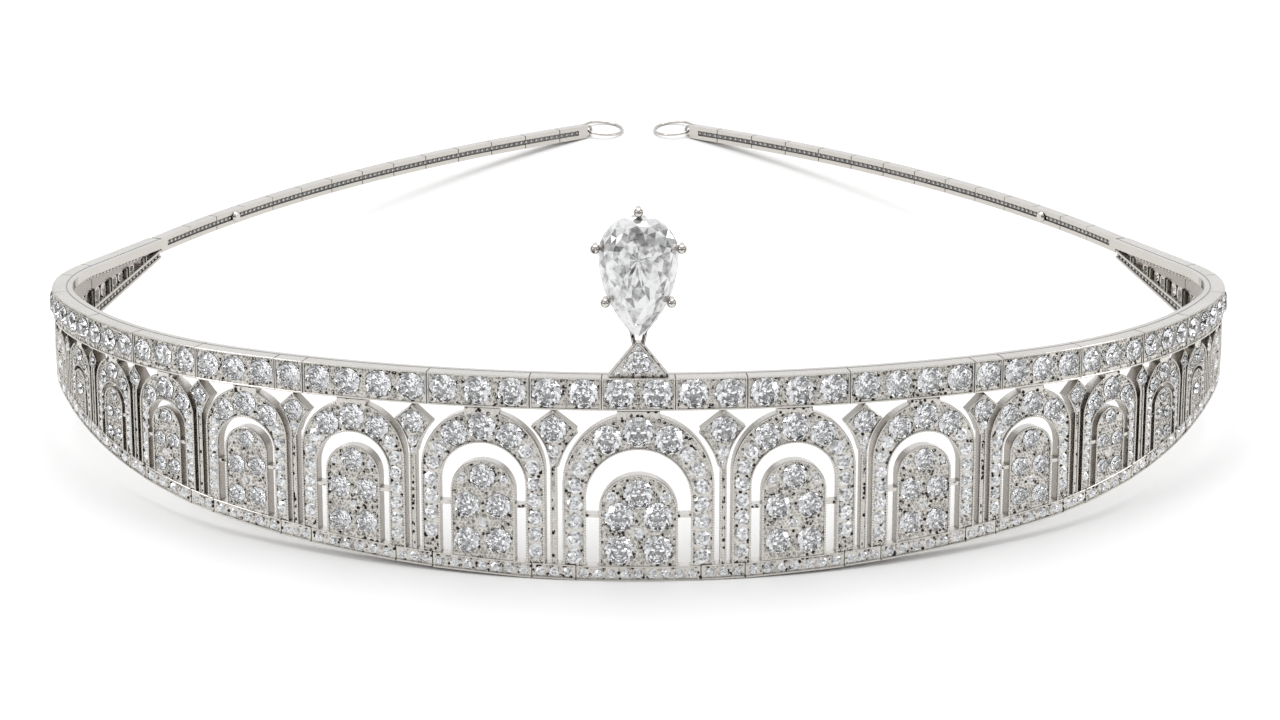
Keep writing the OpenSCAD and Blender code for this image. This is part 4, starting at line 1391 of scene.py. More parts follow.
class TurnPlate:
    """The wall at the turn, where the top band and the bottom band come together."""

    TOP_END = 1.25
    FOOT_END = 1.5
    STONE_PITCH = 2.05
    POST = 0.14
    LOOP_PITCH = 1.25
    LOOP_LEAST = 1.0
    LOOP_HALF = 0.38
    LOOP_BAR = 0.2
    LOOP_DEPTH = 0.9
    LOOP_SET = 0.1
    LOOP_END = 0.05
    LOOP_POINTS = 21

    def __init__(self, wall: Wall, start: float, end: float, side: Side, posts: int) -> None:
        """Works out a stretch of the turn.

        Args:
            wall: Wall that it belongs to.
            start: Length along the wall at its start.
            end: Length along the wall at its end.
            side: Half of the diadem.
            posts: Number of posts between its windows.
        """
        self.wall, self.start, self.end, self.side, self.posts = wall, start, end, side, posts
        curve = wall.plan.bend(start + 0.1, end - 0.1)
        self.middle = (start + end) / 2
        curve = curve if curve > wall.straight else 0.0
        self.patch = Patch(wall, self.middle, side, curve, 0.0)
        self.back = Patch(wall, self.middle, side, curve, wall.band_t, inward=True)

    def part(self, s: float) -> float:
        """Gives how far a place lies between the arches and the rear band, from 0 to 1."""
        first = self.wall.plan.corner_s
        return (s - first) / (self.wall.plan.join_s - first)

    def top_h(self, s: float) -> float:
        """Gives the height of the top band at a length along the wall."""
        return self.wall.band_h + (self.TOP_END - self.wall.band_h) * self.part(s)

    def foot_h(self, s: float) -> float:
        """Gives the height of the bottom band at a length along the wall."""
        return self.wall.foot_h + (self.FOOT_END - self.wall.foot_h) * self.part(s)

    def x(self, s: float) -> float:
        """Gives the place on the patch of a length along the wall."""
        return self.patch.chord(self.side.value * (s - self.middle))

    def loops(self, dressing: Dressing, low: float, high: float) -> None:
        """Adds the upright oval loops of one window.

        Args:
            dressing: Where they are collected.
            low: Length along the wall at which the window starts.
            high: Length along the wall at which it ends.
        """
        if high > self.end:
            return
        patch = Patch(self.wall, self.middle, self.side, self.back.curve, self.wall.band_t - self.LOOP_SET,
                      inward=True)
        count = max(1, round((high - low) / self.LOOP_PITCH))
        pitch = (high - low) / count
        turns = np.linspace(0, math.tau, self.LOOP_POINTS)
        for i in range(count):
            s = low + pitch * (i + 0.5)
            foot = self.wall.floor_z(s) + self.foot_h(s)
            rise = (-self.top_h(s) - foot) / 2
            if rise > self.LOOP_LEAST / 2:
                line = [(self.LOOP_HALF * pitch * math.cos(turn) - self.x(s),
                         foot + rise + (rise - self.LOOP_END) * math.sin(turn)) for turn in turns]
                dressing.loop(patch, line, self.LOOP_BAR, self.LOOP_DEPTH)

    def dress(self, dressing: Dressing) -> None:
        """Adds the rims, grains and two rows of stones, and the rails, posts and loops inside.

        Args:
            dressing: Where they are collected.
        """
        wall = self.wall
        runs = np.linspace(self.start + 0.15, self.end - 0.15, 12)
        for high in (lambda s: -0.13, lambda s: 0.14 - self.top_h(s),
                     lambda s: wall.floor_z(s) + self.foot_h(s) - 0.12, lambda s: wall.floor_z(s) + 0.14):
            dressing.rim(self.patch, [(self.x(s), high(s)) for s in runs], beaded=False, width=0.8)
        spots = []
        count = max(2, round((self.end - self.start - 0.4) / self.STONE_PITCH))
        for i in range(count):
            s = self.start + 0.2 + (self.end - self.start - 0.4) * (i + 0.5) / count
            spots.append(Spot(self.x(s), -self.top_h(s) / 2, min(0.36 * self.top_h(s), 0.95)))
            if self.foot_h(s) - wall.floor_z(s) > 2:
                spots.append(Spot(self.x(s), wall.floor_z(s) + self.foot_h(s) / 2, 0.3 * self.foot_h(s)))
        dressing.set_stones(self.patch, spots, seated=False)
        low = [(-self.x(s), wall.floor_z(s) + 0.3) for s in runs]
        high = [(-self.x(s), wall.floor_z(s) + self.foot_h(s) - 0.3) for s in runs]
        dressing.rails(self.back, low, high)
        step = (self.end - self.start) / self.posts
        for i in range(self.posts + 1):
            for shift in (-0.32, 0.32):
                s = min(max(self.start + i * step + shift, self.start + 0.3), self.end - 0.6)
                foot, top = wall.floor_z(s) + self.foot_h(s) - 0.1, min(-self.top_h(s), -wall.frame_h - 0.6) + 0.1
                if top - foot > 0.4:
                    line = [(-self.x(s), float(z)) for z in np.linspace(foot, top, 4)]
                    dressing.rim(self.back, line, beaded=False, width=0.9, high=2.4)
            self.loops(dressing, self.start + (i + self.POST) * step, self.start + (i + 1 - self.POST) * step)
        beads = spaced([(-self.x(s), -wall.frame_h - 0.42) for s in runs if self.top_h(s) > wall.frame_h + 0.7], 0.8)
        none = np.zeros(len(beads))
        dressing.beads.stamp(dressing.bead, self.back, beads[:, 0], beads[:, 1], none, none + 0.34, none, none)
        edge = abs(self.x(self.end))
        xs = [self.x(s) for s in runs]
        order = np.argsort(xs)
        known = np.array(xs)[order]
        top = np.array([self.top_h(s) for s in runs])[order]
        floor = np.array([wall.floor_z(s) for s in runs])[order]
        foot = np.array([self.foot_h(s) for s in runs])[order]

        def inside(x: np.ndarray, z: np.ndarray) -> np.ndarray:
            """Says which places are metal of one of the two bands."""
            low = np.interp(x, known, floor)
            upper = (z < -0.4) & (z > 0.4 - np.interp(x, known, top))
            lower = (z > low + 0.35) & (z < low + np.interp(x, known, foot) - 0.3)
            return (np.abs(x) < edge - 0.3) & (upper | lower) & (z < -0.3)

        dressing.field(self.patch, (-edge, float(floor.min())), (edge, 0.0), inside, spots)


class TopSeam:
    """The gap between the top band and the rail behind it, shown by a dark strip of painted shadow."""

    WIDTH = 0.18
    STEP = 1.0
    LIFT = 0.015

    def __init__(self, wall: Wall) -> None:
        """Keeps the wall that it runs along."""
        self.wall = wall

    def dress(self, dressing: Dressing) -> None:
        """Adds the shadow of the gap as a thin dark strip.

        Args:
            dressing: Where it is collected.
        """
        plan = self.wall.plan
        middle = self.wall.band_t + self.wall.seam_gap / 2
        runs = np.arange(-plan.join_s + 1, plan.join_s - 1, self.STEP)
        rows = []
        for depth in (middle - self.WIDTH / 2, middle + self.WIDTH / 2):
            for s in runs:
                x, y, turn = plan.at(abs(float(s)))
                way = -1 if s < 0 else 1
                rows.append((way * (x - depth * math.sin(turn)), y + depth * math.cos(turn), self.LIFT))
        count = len(runs)
        faces = [face for i in range(count - 1)
                 for face in ((i, i + 1, count + i), (i + 1, count + i + 1, count + i))]
        tones = np.full(len(faces), dressing.finish.groove_shadow_tone)
        dressing.backs.add(self.wall.rest(np.array(rows)), np.array(faces), tones)


class RearBand:
    """One long rear band, with small stones outside and their drilled backs inside."""

    STONE_R = 0.45
    PITCH = 1.0
    END = 2.4
    GROOVE = 0.3
    GROOVE_END = 1.9
    GROOVE_W = 0.76

    def __init__(self, wall: Wall, side: Side) -> None:
        """Places the band behind the wall on one side."""
        plan = wall.plan
        self.length = plan.rear_len - wall.link_gap
        middle = plan.join_s + wall.link_gap + self.length / 2
        back = wall.rear_in + wall.rear_t
        self.wall = wall
        self.outer = Patch(wall, middle, side, 1 / plan.rear_r, wall.rear_in)
        self.inner = Patch(wall, middle, side, 1 / plan.rear_r, back - self.GROOVE, inward=True)

    def dress(self, dressing: Dressing) -> None:
        """Adds the rails and the row of stones, and inside a dark strip of painted shadow along the groove, with beads
        between the stones.

        Args:
            dressing: Where they are collected.
        """
        half = self.length / 2
        mid = -self.wall.rear_h / 2
        count = int((self.length - 2 * self.END) / self.PITCH)
        xs = np.linspace(self.END - half, half - self.END, count)
        spots = [Spot(float(x), mid, self.STONE_R) for x in xs]
        dressing.set_stones(self.outer, spots, seated=False)
        groove = np.linspace(self.GROOVE_END - half, half - self.GROOVE_END, 60)
        dressing.ribbon(self.inner, [(float(x), mid) for x in groove], self.GROOVE_W)
        none = np.zeros(count - 1)
        gaps = (xs[:-1] + xs[1:]) / 2
        dressing.beads.stamp(dressing.bead, self.inner, gaps, none + mid, none, none + 0.3, none, none)
        line = np.linspace(0.2 - half, half - 0.2, 40)
        for z in (0.16 - self.wall.rear_h, -0.16):
            dressing.rim(self.outer, [(x, z) for x in line], beaded=False, width=0.9)


class PearSetting:
    """The upright pear shaped stone with its pavé plate and the centre link under it."""

    STONE_Y = 0.3
    LOW = 5.1
    PLATE_Y = 0.35
    PLATE_W = 3.85
    PLATE_H = 4.7
    PLATE_EDGE = 0.35
    PLATE_STONE = (1.95, 1.5)
    SMALL = ((0.0, 3.95, 0.42), (-1.75, 1.15, 0.52), (1.75, 1.15, 0.52), (-2.72, 0.72, 0.36), (2.72, 0.72, 0.36))

    def __init__(self, wall: Wall) -> None:
        """Works out the setting's places for a wall."""
        self.wall = wall
        self.cut = PearCut()
        self.pear = Patch(wall, 0.0, Side.RIGHT, 0.0, self.STONE_Y)
        self.plate = Patch(wall, 0.0, Side.RIGHT, 0.0, self.PLATE_Y)

    def stone(self, heap: Heap) -> None:
        """Adds the pear shaped stone.

        Args:
            heap: Where it is collected.
        """
        middle = self.LOW + self.cut.high - self.cut.wide - self.cut.middle
        one, none = np.ones(1), np.zeros(1)
        heap.stamp(self.cut.shape(), self.pear, none, none + middle, none, one, none, none + 0.5)

    def dress(self, dressing: Dressing) -> None:
        """Adds the plate's rims, grains and stones.

        Args:
            dressing: Where they are collected.
        """
        high, radius = self.PLATE_STONE
        large = [Spot(0.0, high, radius)]
        small = [Spot(*sizes) for sizes in self.SMALL]
        dressing.set_stones(self.plate, large)
        dressing.set_stones(self.plate, small, seated=False)
        lean = self.PLATE_W - self.PLATE_EDGE
        rise = self.PLATE_H - self.PLATE_EDGE
        for sign in (-1, 1):
            line = [(sign * (self.PLATE_W - 0.3 - lean * t), self.PLATE_EDGE + rise * t - 0.05)
                    for t in np.linspace(0, 0.97, 16)]
            dressing.rim(self.plate, line, width=0.8)

        def inside(x: np.ndarray, z: np.ndarray) -> np.ndarray:
            """Says which places are metal of the plate."""
            room = self.PLATE_W - lean * (z - self.PLATE_EDGE) / rise
            return (np.abs(x) < room - 0.45) & (z > 0.25) & (z < self.PLATE_H - 0.5)

        dressing.field(self.plate, (-self.PLATE_W, 0.0), (self.PLATE_W, self.PLATE_H), inside, large + small)


def output(group: bpy.types.NodeTree, name: str, kind: str) -> None:
    """Adds an output socket to a node group."""
    group.interface.new_socket(name=name, in_out="OUTPUT", socket_type=kind)


def value_input(group: bpy.types.NodeTree, name: str, value: float) -> None:
    """Adds a value input with a default to a node group."""
    group.interface.new_socket(name=name, in_out="INPUT", socket_type="NodeSocketFloat").default_value = value


def tint_input(group: bpy.types.NodeTree, name: str, tint: Tint) -> None:
    """Adds a colour input with a default to a node group."""
    group.interface.new_socket(name=name, in_out="INPUT", socket_type="NodeSocketColor").default_value = (*tint, 1)


class Nodes:
    """Builds a node tree with short calls."""

    def __init__(self, tree: bpy.types.NodeTree) -> None:
        """Starts building in a tree."""
        self.tree = tree

    def add(self, kind: str, **settings: object) -> bpy.types.Node:
        """Adds a node.

        Args:
            kind: Its type name.
            settings: Properties to set on it.

        Returns:
            The node.
        """
        node = self.tree.nodes.new(kind)
        for name, value in settings.items():
            setattr(node, name, value)
        return node

    def link(self, source: bpy.types.NodeSocket, target: bpy.types.NodeSocket) -> None:
        """Joins two sockets."""
        self.tree.links.new(source, target)

    def math(self, operation: str, first: object, second: object) -> bpy.types.NodeSocket:
        """Adds a math node.

        Args:
            operation: Its operation.
            first: Socket or number.
            second: Socket or number.

        Returns:
            Its result.
        """
        node = self.add("ShaderNodeMath", operation=operation, use_clamp=operation == "MULTIPLY_ADD")
        for i, item in enumerate((first, second)):
            if isinstance(item, bpy.types.NodeSocket):
                self.link(item, node.inputs[i])
            else:
                node.inputs[i].default_value = item
        return node.outputs[0]

    def span(self, value: bpy.types.NodeSocket, low: float, high: float,
             start: float = 0.0, end: float = 1.0) -> bpy.types.NodeSocket:
        """Maps a value from one range to another.

        Args:
            value: Socket to read.
            low: Value that gives start.
            high: Value that gives end.
            start: First result.
            end: Last result.

        Returns:
            The mapped value, kept within the range.
        """
        node = self.add("ShaderNodeMapRange")
        self.link(value, node.inputs["Value"])
        for name, number in (("From Min", low), ("From Max", high), ("To Min", start), ("To Max", end)):
            node.inputs[name].default_value = number
        return node.outputs["Result"]

    def mix(self, part: bpy.types.NodeSocket, first: object, second: object) -> bpy.types.NodeSocket:
        """Mixes two colours.

        Args:
            part: Share of the second.
            first: Socket or colour.
            second: Socket or colour.

        Returns:
            The mixed colour.
        """
        node = self.add("ShaderNodeMix", data_type="RGBA")
        self.link(part, node.inputs[0])
        for socket, item in ((node.inputs[6], first), (node.inputs[7], second)):
            if isinstance(item, bpy.types.NodeSocket):
                self.link(item, socket)
            else:
                socket.default_value = (*item, 1)
        return node.outputs[2]

    def noise(self, scale: float, detail: float = 3.0, rough: float = 0.55) -> bpy.types.NodeSocket:
        """Adds a noise texture in object space and gives its value."""
        place = self.add("ShaderNodeTexCoord")
        node = self.add("ShaderNodeTexNoise")
        node.inputs["Scale"].default_value = scale
        node.inputs["Detail"].default_value = detail
        node.inputs["Roughness"].default_value = rough
        self.link(place.outputs["Object"], node.inputs["Vector"])
        return node.outputs["Fac"]


@dataclass(frozen=True)
class WearAndCreviceShade:
    """Node group that paints shade into the metal's crevices and roughens it there, and polishes what stands out."""

    name: str = "wear_and_crevice_shade"
    tint: Tint = (0.66, 0.64, 0.605)
    shade: Tint = (0.07, 0.06, 0.05)
    crevice: float = 0.5 * MM

    def build(self) -> bpy.types.NodeTree:
        """Makes the group.

        Returns:
            The group, with Color, Roughness and Height outputs.
        """
        group = bpy.data.node_groups.new(self.name, "ShaderNodeTree")
        tint_input(group, "Tint", self.tint)
        tint_input(group, "Crevice Shade Tint", self.shade)
        value_input(group, "Polish", 0.26)
        value_input(group, "Grime", 0.8)
        output(group, "Color", "NodeSocketColor")
        output(group, "Roughness", "NodeSocketFloat")
        output(group, "Height", "NodeSocketFloat")
        nodes = Nodes(group)
        given = nodes.add("NodeGroupInput")
        result = nodes.add("NodeGroupOutput")
        # Painted shade: ambient occlusion over a short distance pulls the colour towards a near black tint in hollows
        # and between parts, patchy by noise.
        hollow = nodes.add("ShaderNodeAmbientOcclusion", samples=6, only_local=False)
        hollow.inputs["Distance"].default_value = self.crevice
        open_part = nodes.span(hollow.outputs["AO"], 0.35, 0.85)
        closed = nodes.math("SUBTRACT", 1.0, open_part)
        spots = nodes.span(nodes.noise(900.0), 0.42, 0.62, 0.55, 1.0)
        grime = nodes.math("MULTIPLY", nodes.math("MULTIPLY", closed, spots), given.outputs["Grime"])
        cloud = nodes.span(nodes.noise(140.0), 0.3, 0.7, 0.0, 0.16)
        aged = nodes.mix(cloud, given.outputs["Tint"], (0.40, 0.37, 0.33))
        nodes.link(nodes.mix(grime, aged, given.outputs["Crevice Shade Tint"]), result.inputs["Color"])
        scuffs = nodes.span(nodes.noise(2600.0, 4.0), 0.35, 0.7, -0.05, 0.1)
        rough = nodes.math("ADD", nodes.math("ADD", given.outputs["Polish"], scuffs),
                           nodes.math("MULTIPLY", grime, 0.3))
        nodes.link(rough, result.inputs["Roughness"])
        nodes.link(nodes.noise(5200.0, 3.0), result.inputs["Height"])
        return group


@dataclass(frozen=True)
class DrilledPits:
    """Node group for the small pits that a graver leaves between grains, painted dark for the shade inside them."""

    name: str = "drilled_pits"
    scale: float = 1450.0

    def build(self) -> bpy.types.NodeTree:
        """Makes the group.

        Returns:
            The group, with Mask and Height outputs.
        """
        group = bpy.data.node_groups.new(self.name, "ShaderNodeTree")
        value_input(group, "Amount", 1.0)
        output(group, "Mask", "NodeSocketFloat")
        output(group, "Height", "NodeSocketFloat")
        nodes = Nodes(group)
        given = nodes.add("NodeGroupInput")
        result = nodes.add("NodeGroupOutput")
        place = nodes.add("ShaderNodeTexCoord")
        cells = nodes.add("ShaderNodeTexVoronoi", feature="F1")
        cells.inputs["Scale"].default_value = self.scale
        nodes.link(place.outputs["Object"], cells.inputs["Vector"])
        pit = nodes.span(cells.outputs["Distance"], 0.3, 0.4, 1.0, 0.0)
        gathered = nodes.math("MULTIPLY", pit, nodes.span(nodes.noise(750.0, 1.0), 0.33, 0.45))
        mask = nodes.math("MULTIPLY", gathered, given.outputs["Amount"])
        nodes.link(mask, result.inputs["Mask"])
        nodes.link(nodes.math("SUBTRACT", 1.0, mask), result.inputs["Height"])
        return group


@dataclass(frozen=True)
class OutwardFaces:
    """Node group that tells the wall's outer and upper faces from its cut walls and back, so that cut walls and backs
    are painted in shade and upper faces painted lighter.
    """

    name: str = "outward_faces"

    def build(self) -> bpy.types.NodeTree:
        """Makes the group.

        Returns:
            The group, with Mask and Up outputs.
        """
        group = bpy.data.node_groups.new(self.name, "ShaderNodeTree")
        value_input(group, "Sharpness", 0.86)
        output(group, "Mask", "NodeSocketFloat")
        output(group, "Up", "NodeSocketFloat")
        nodes = Nodes(group)
        given = nodes.add("NodeGroupInput")
        result = nodes.add("NodeGroupOutput")
        surface = nodes.add("ShaderNodeNewGeometry")
        flat = nodes.add("ShaderNodeVectorMath", operation="MULTIPLY")
        flat.inputs[1].default_value = (1, 1, 0)
        nodes.link(surface.outputs["Position"], flat.inputs[0])
        away = nodes.add("ShaderNodeVectorMath", operation="NORMALIZE")
        nodes.link(flat.outputs["Vector"], away.inputs[0])
        facing = nodes.add("ShaderNodeVectorMath", operation="DOT_PRODUCT")
        nodes.link(away.outputs["Vector"], facing.inputs[0])
        nodes.link(surface.outputs["True Normal"], facing.inputs[1])
        over = nodes.math("SUBTRACT", facing.outputs["Value"], given.outputs["Sharpness"])
        nodes.link(nodes.span(over, -0.1, 0.0), result.inputs["Mask"])
        split = nodes.add("ShaderNodeSeparateXYZ")
        nodes.link(surface.outputs["True Normal"], split.inputs["Vector"])
        nodes.link(nodes.span(split.outputs["Z"], 0.75, 0.9), result.inputs["Up"])
        return group


@dataclass(frozen=True)
class Groups:
    """The shared node groups."""

    wear_and_shade_group: bpy.types.NodeTree
    drilled: bpy.types.NodeTree
    outward: bpy.types.NodeTree


@dataclass(frozen=True)
class Platinum:
    """One finish of platinum.

    Attributes:
        name: Name of the material.
        polish: Roughness of its open faces.
        grime: How dark the shade painted into its crevices is.
        pits: How strongly it is pitted, with each pit painted dark as shade.
        tint: Its colour where it looks outward.
        inner: Its darker colour on cut walls, edges and backs, a painted shade.
        top: Its lighter colour where it looks up, a painted highlight.
    """

    name: str
    polish: float = 0.26
    grime: float = 0.8
    pits: float = 0.0
    tint: Tint = (0.70, 0.675, 0.635)
    inner: Tint = (0.36, 0.335, 0.305)
    top: Tint = (0.82, 0.80, 0.775)

    def build(self, groups: Groups) -> bpy.types.Material:
        """Makes the material.

        Args:
            groups: The shared node groups.

        Returns:
            The material.
        """
        material = bpy.data.materials.new(self.name)
        material.use_nodes = True
        nodes = Nodes(material.node_tree)
        shader = material.node_tree.nodes["Principled BSDF"]
        shader.inputs["Metallic"].default_value = 1.0
        wear_and_shade_node = nodes.add("ShaderNodeGroup", node_tree=groups.wear_and_shade_group)
        wear_and_shade_node.inputs["Polish"].default_value = self.polish
        # Sets how dark the painted shade in the crevices is.
        wear_and_shade_node.inputs["Grime"].default_value = self.grime
        bump = nodes.add("ShaderNodeBump")
        bump.inputs["Strength"].default_value = 0.05
        bump.inputs["Distance"].default_value = 0.02 * MM
        nodes.link(wear_and_shade_node.outputs["Height"], bump.inputs["Height"])
        # Painted shade and highlight: faces that do not look outward take the darker inner colour, and faces that look
        # up take the lighter top colour.
        outward = nodes.add("ShaderNodeGroup", node_tree=groups.outward)
        sides = nodes.mix(outward.outputs["Mask"], self.inner, self.tint)
        nodes.link(nodes.mix(outward.outputs["Up"], sides, self.top), wear_and_shade_node.inputs["Tint"])
        color = wear_and_shade_node.outputs["Color"]
        normal = bump.outputs["Normal"]
        if self.pits:
            # Painted shade: the pits are coloured nearly black, and dented by a bump.
            pitted = nodes.add("ShaderNodeGroup", node_tree=groups.drilled)
            nodes.link(nodes.math("MULTIPLY", outward.outputs["Mask"], self.pits), pitted.inputs["Amount"])
            color = nodes.mix(pitted.outputs["Mask"], color, (0.025, 0.02, 0.017))
            sunk = nodes.add("ShaderNodeBump")
            sunk.inputs["Strength"].default_value = 0.6
            sunk.inputs["Distance"].default_value = 0.08 * MM
            nodes.link(pitted.outputs["Height"], sunk.inputs["Height"])
            nodes.link(normal, sunk.inputs["Normal"])
            normal = sunk.outputs["Normal"]
        nodes.link(color, shader.inputs["Base Color"])
        nodes.link(wear_and_shade_node.outputs["Roughness"], shader.inputs["Roughness"])
        nodes.link(normal, shader.inputs["Normal"])
        return material


@dataclass(frozen=True)
class Diamond:
    """Clear old cut stones that are seen through."""

    name: str
    ior: float = 2.35
    tint: Tint = (0.97, 0.98, 1.0)

    def build(self) -> bpy.types.Material:
        """Makes the material.

        Returns:
            The material.
        """
        material = bpy.data.materials.new(self.name)
        material.use_nodes = True
        shader = material.node_tree.nodes["Principled BSDF"]
        shader.inputs["Base Color"].default_value = (*self.tint, 1)
        shader.inputs["Roughness"].default_value = 0.0
        shader.inputs["IOR"].default_value = self.ior
        shader.inputs["Transmission Weight"].default_value = 1.0
        nodes = Nodes(material.node_tree)
        bump = nodes.add("ShaderNodeBump")
        bump.inputs["Strength"].default_value = 0.05
        bump.inputs["Distance"].default_value = 0.01 * MM
        nodes.link(nodes.noise(700.0), bump.inputs["Height"])
        nodes.link(bump.outputs["Normal"], shader.inputs["Normal"])
        return material


@dataclass(frozen=True)
class TonedDiamond:
    """Stones that are shown by light and dark painted into their facets, as painted reflections.

    Attributes:
        name: Name of the material.
        light: Colour of the lightest facets.
        dark: Colour of the darkest facets.
        mottle: How uneven the light is inside a facet.
    """

    name: str
    light: Tint = (0.93, 0.94, 0.95)
    dark: Tint = (0.26, 0.26, 0.27)
    mottle: float = 0.25

    def build(self) -> bpy.types.Material:
        """Makes the material.

        Returns:
            The material.
        """
        material = bpy.data.materials.new(self.name)
        material.use_nodes = True
        nodes = Nodes(material.node_tree)
        shader = material.node_tree.nodes["Principled BSDF"]
        tone = nodes.add("ShaderNodeAttribute", attribute_name="tone", attribute_type="GEOMETRY")
        turned = nodes.math("FRACT", nodes.math("MULTIPLY", tone.outputs["Fac"], 7.31), 0.0)
        uneven = nodes.math("MULTIPLY", nodes.span(nodes.noise(1500.0, 2.0), 0.35, 0.65), self.mottle)
        part = nodes.math("ADD", nodes.span(turned, 0.4, 1.0), nodes.math("SUBTRACT", uneven, self.mottle / 2))
        # Painted reflections: the tone mixes each facet between the light and the dark colour.
        nodes.link(nodes.mix(part, self.light, self.dark), shader.inputs["Base Color"])
        shader.inputs["Metallic"].default_value = 0.35
        shader.inputs["Roughness"].default_value = 0.08
        shader.inputs["IOR"].default_value = 2.0
        shader.inputs["Coat Weight"].default_value = 1.0
        shader.inputs["Coat Roughness"].default_value = 0.02
        return material


@dataclass(frozen=True)
class Studio:
    """Pale floor, soft lights and the camera."""

    floor_size: float = 6.0
    lens: float = 109.2
    distance: float = 0.5
    rise: float = math.radians(16.5)
    shift: tuple[float, float] = (0.0012, 0.0142)

    def floor(self) -> bpy.types.Object:
        """Makes the floor.

        Returns:
            The floor, as part of the stage.
        """
        bpy.ops.mesh.primitive_plane_add(size=self.floor_size)
        floor = bpy.context.object
        floor.name = "studio_floor"
        material = bpy.data.materials.new("pale_floor")
        material.use_nodes = True
        shader = material.node_tree.nodes["Principled BSDF"]
        shader.inputs["Base Color"].default_value = (0.93, 0.93, 0.93, 1)
        shader.inputs["Roughness"].default_value = 0.8
        floor.data.materials.append(material)
        return floor

    @staticmethod
    def light(name: str, place: tuple[float, float, float], size: float, power: float) -> None:
        """Adds a soft square light that looks at the diadem.

        Args:
            name: Its name.
            place: Where it hangs, in metres.
            size: Length of its sides.
            power: Its power in watts.
        """
        lamp = bpy.data.lights.new(name, "AREA")
        lamp.energy = power
        lamp.size = size
        holder = bpy.data.objects.new(name, lamp)
        holder.location = place
        holder.rotation_euler = (-Vector(place)).to_track_quat("-Z", "Y").to_euler()
        bpy.context.scene.collection.objects.link(holder)

    def world(self) -> None:
        """Sets a sky that is bright above and darker near the horizon."""
        world = bpy.data.worlds.new("studio_world")
        bpy.context.scene.world = world
        world.use_nodes = True
        nodes = Nodes(world.node_tree)
        place = nodes.add("ShaderNodeTexCoord")
        split = nodes.add("ShaderNodeSeparateXYZ")
        nodes.link(place.outputs["Generated"], split.inputs["Vector"])
        behind = nodes.math("MULTIPLY", split.outputs["Y"], 0.35)
        part = nodes.span(nodes.math("ADD", split.outputs["Z"], behind), 0.0, 0.4)
        back = world.node_tree.nodes["Background"]
        nodes.link(nodes.mix(part, (0.1, 0.1, 0.105), (1.0, 1.0, 1.0)), back.inputs["Color"])
        back.inputs["Strength"].default_value = 0.85

    def camera(self, wall: Wall) -> None:
        """Places the camera at the photograph's angle.

        Args:
            wall: Wall that the camera looks at.
        """
        rise = self.rise + wall.lean
        target = Vector((0.0, wall.shift_y * MM, wall.front_h * math.cos(wall.lean) * MM))
        away = Vector((0.0, -math.cos(rise), math.sin(rise)))
        data = bpy.data.cameras.new("camera")
        data.lens = self.lens
        data.sensor_width = 36.0
        data.shift_x, data.shift_y = self.shift
        data.clip_start = 0.01
        camera = bpy.data.objects.new("camera", data)
        camera.location = target + away * self.distance
        camera.rotation_euler = (-away).to_track_quat("-Z", "Y").to_euler()
        bpy.context.scene.collection.objects.link(camera)
        bpy.context.scene.camera = camera

    def build(self, wall: Wall) -> None:
        """Builds the studio.

        Args:
            wall: Wall that the camera looks at.
        """
        self.floor()
        self.light("top_light", (0.0, 0.15, 0.8), 0.7, 3.5)
        self.light("left_light", (-0.7, -0.35, 0.5), 0.3, 1.2)
        self.light("right_light", (0.75, -0.2, 0.4), 0.25, 0.9)
        self.world()
        self.camera(wall)
        scene = bpy.context.scene
        scene.view_settings.view_transform = "Standard"


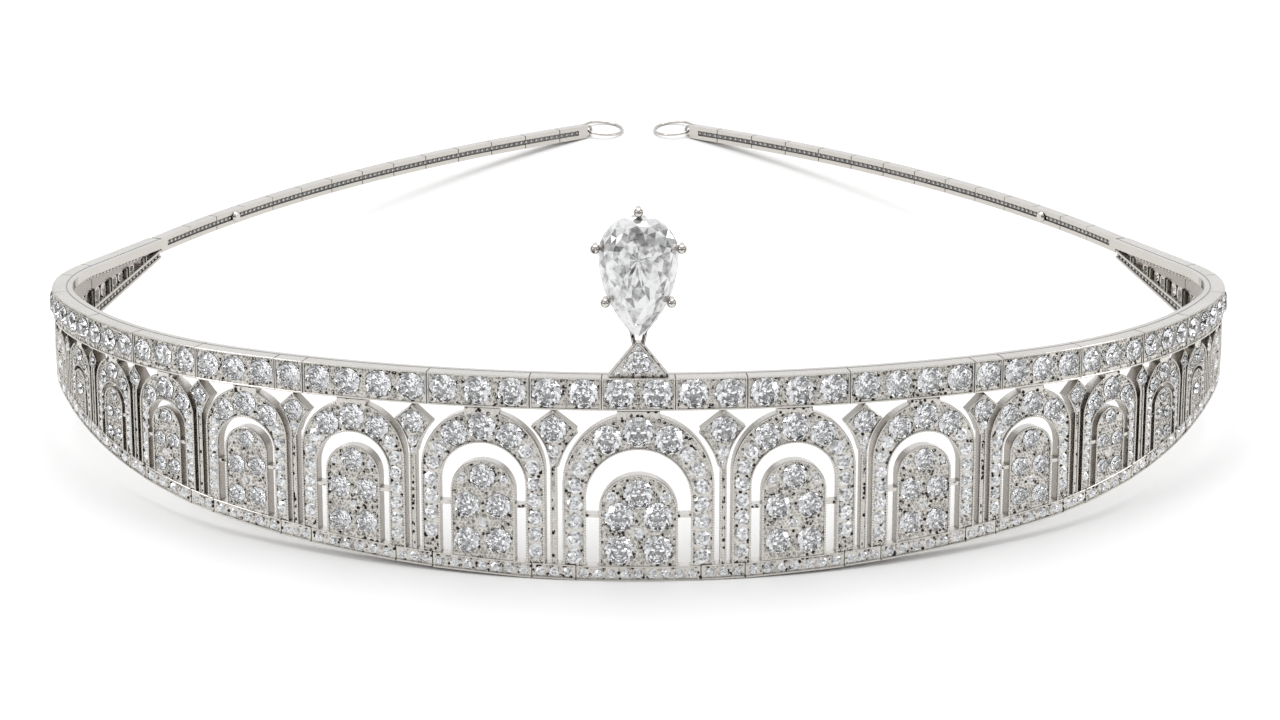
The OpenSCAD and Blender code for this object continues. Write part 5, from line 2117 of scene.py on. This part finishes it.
class Diadem:
    """Builds every sub-assembly and gives each piece its finish."""

    def __init__(self) -> None:
        """Reads the sizes and makes the materials."""
        self.wall = Wall()
        self.work = Openwork(self.wall)
        groups = Groups(WearAndCreviceShade().build(), DrilledPits().build(), OutwardFaces().build())
        # Each finish sets how dark its crevices are painted in shade; the inner tints are painted shade on cut walls
        # and backs.
        finishes = {
            Slot.BAND: Platinum("platinum_band_look", pits=1.0),
            Slot.ARCHES: Platinum("platinum_arches_look", pits=1.0),
            Slot.SPEARS: Platinum("platinum_spears_look", pits=1.0),
            Slot.SETTING: Platinum("platinum_setting_look", polish=0.22, pits=0.9),
            Slot.POLISHED: Platinum("platinum_polished_look", polish=0.16, grime=1.0, inner=(0.56, 0.535, 0.50)),
            Slot.WIRE: Platinum("platinum_wire_look", polish=0.18, grime=0.5, inner=(0.6, 0.575, 0.54)),
        }
        self.metal = {slot: finish.build(groups) for slot, finish in finishes.items()}
        # The rim look's lighter inner tint is the painted shade on its cut walls and backs.
        self.bright = Platinum("platinum_rim_look", polish=0.2, grime=0.7, inner=(0.6, 0.58, 0.545)).build(groups)
        self.clear = Diamond("diamond_look").build()
        # The pear and the small stones are opaque, with painted reflections in their facets.
        self.bright_stone = TonedDiamond("pear_diamond_look", light=(0.88, 0.885, 0.89), dark=(0.2, 0.2, 0.195),
                                         mottle=0.55).build()
        self.toned = TonedDiamond("small_diamond_look").build()
        # A darker copy of the facet look: painted shade on the stone backs inside the wall and on the shadow strips.
        self.shaded = TonedDiamond("shaded_back_and_shadow_strip_look", light=(0.5, 0.5, 0.51), dark=(0.02, 0.02, 0.02)).build()

    def frame_looks(self) -> None:
        """Gives every node of the frame the finish of its slot."""
        for part in frame["record"]["subparts"]:
            slot = Slot(part["material_slot"])
            look = self.clear if slot is Slot.DIAMOND else self.metal[slot]
            node = frame["nodes"][part["node"]]
            node.data.materials.clear()
            node.data.materials.append(look)

    def pieces(self, dressing: Dressing) -> dict[str, bpy.types.Object]:
        """Makes the pieces of a sub-assembly.

        Args:
            dressing: Its details.

        Returns:
            Pieces by what they hold.
        """
        made = {}
        for kind, heap, look in (("rims", dressing.rims, self.bright), ("milgrain", dressing.beads, self.bright),
                                 ("grains", dressing.grains, self.bright)):
            if heap.count:
                made[kind] = heap.piece(dressing.slot, look, kind != "rims")
        if dressing.stones.count:
            made["stones"] = dressing.stones.piece(Slot.DIAMOND, self.clear, False)
        if dressing.small.count:
            made["small"] = dressing.small.piece(Slot.DIAMOND, self.toned, False)
        # The backs piece holds the stone backs and the shadow strips, all in painted shade.
        if dressing.backs.count:
            made["backs"] = dressing.backs.piece(Slot.DIAMOND, self.shaded, False)
        return made

    def build(self) -> None:
        """Builds the looks of the whole diadem."""
        self.frame_looks()
        finish = Finish()
        band = Dressing("band", Slot.BAND, finish, 1)
        TopBand(self.wall).dress(band)
        TopSeam(self.wall).dress(band)
        arches = {side: Dressing(f"arches_{side.name.lower()}", Slot.ARCHES, finish, 3 + side.value) for side in Side}
        spears = Dressing("spears", Slot.SPEARS, finish, 7)
        for side in Side:
            for k in range(0 if side is Side.RIGHT else 1, self.work.last + 1):
                ArchPanel(self.work, k, side).dress(arches[side])
            for k in range(1, self.work.last + 1):
                Spear(self.work, k, side).dress(spears)
        plan = self.wall.plan
        turns = Dressing("turns", Slot.ARCHES, finish, 8)
        rears = Dressing("rear_bands", Slot.POLISHED, finish, 9)
        for side in Side:
            for start, end, posts in ((plan.corner_s, plan.side_s, 1), (plan.side_s, plan.join_s, 4)):
                TurnPlate(self.wall, start, end, side, posts).dress(turns)
            RearBand(self.wall, side).dress(rears)
        centre = Dressing("centre", Slot.SETTING, finish, 10)
        setting = PearSetting(self.wall)
        setting.dress(centre)
        TopBand(self.wall).link(centre, -1, 1, Side.RIGHT)
        pear = Heap("pear_stone")
        setting.stone(pear)
        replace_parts(pear.piece(Slot.DIAMOND, self.bright_stone, False), "pear_diamond")
        made = {name: self.pieces(dressing) for name, dressing in
                (("band", band), ("right", arches[Side.RIGHT]), ("left", arches[Side.LEFT]), ("spears", spears),
                 ("turns", turns), ("rears", rears), ("centre", centre))}
        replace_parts(made["band"]["stones"], "band_diamonds")
        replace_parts(made["right"]["stones"], "arch_diamonds", "niche_diamonds")
        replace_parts(made["spears"]["stones"], "spear_diamonds")
        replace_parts(made["centre"]["stones"], "plate_diamond")


def main() -> None:
    """Builds the looks and the studio."""
    logging.basicConfig(level=logging.INFO, format="%(message)s")
    diadem = Diadem()
    diadem.build()
    Studio().build(diadem.wall)


if __name__ == "__main__":
    main()
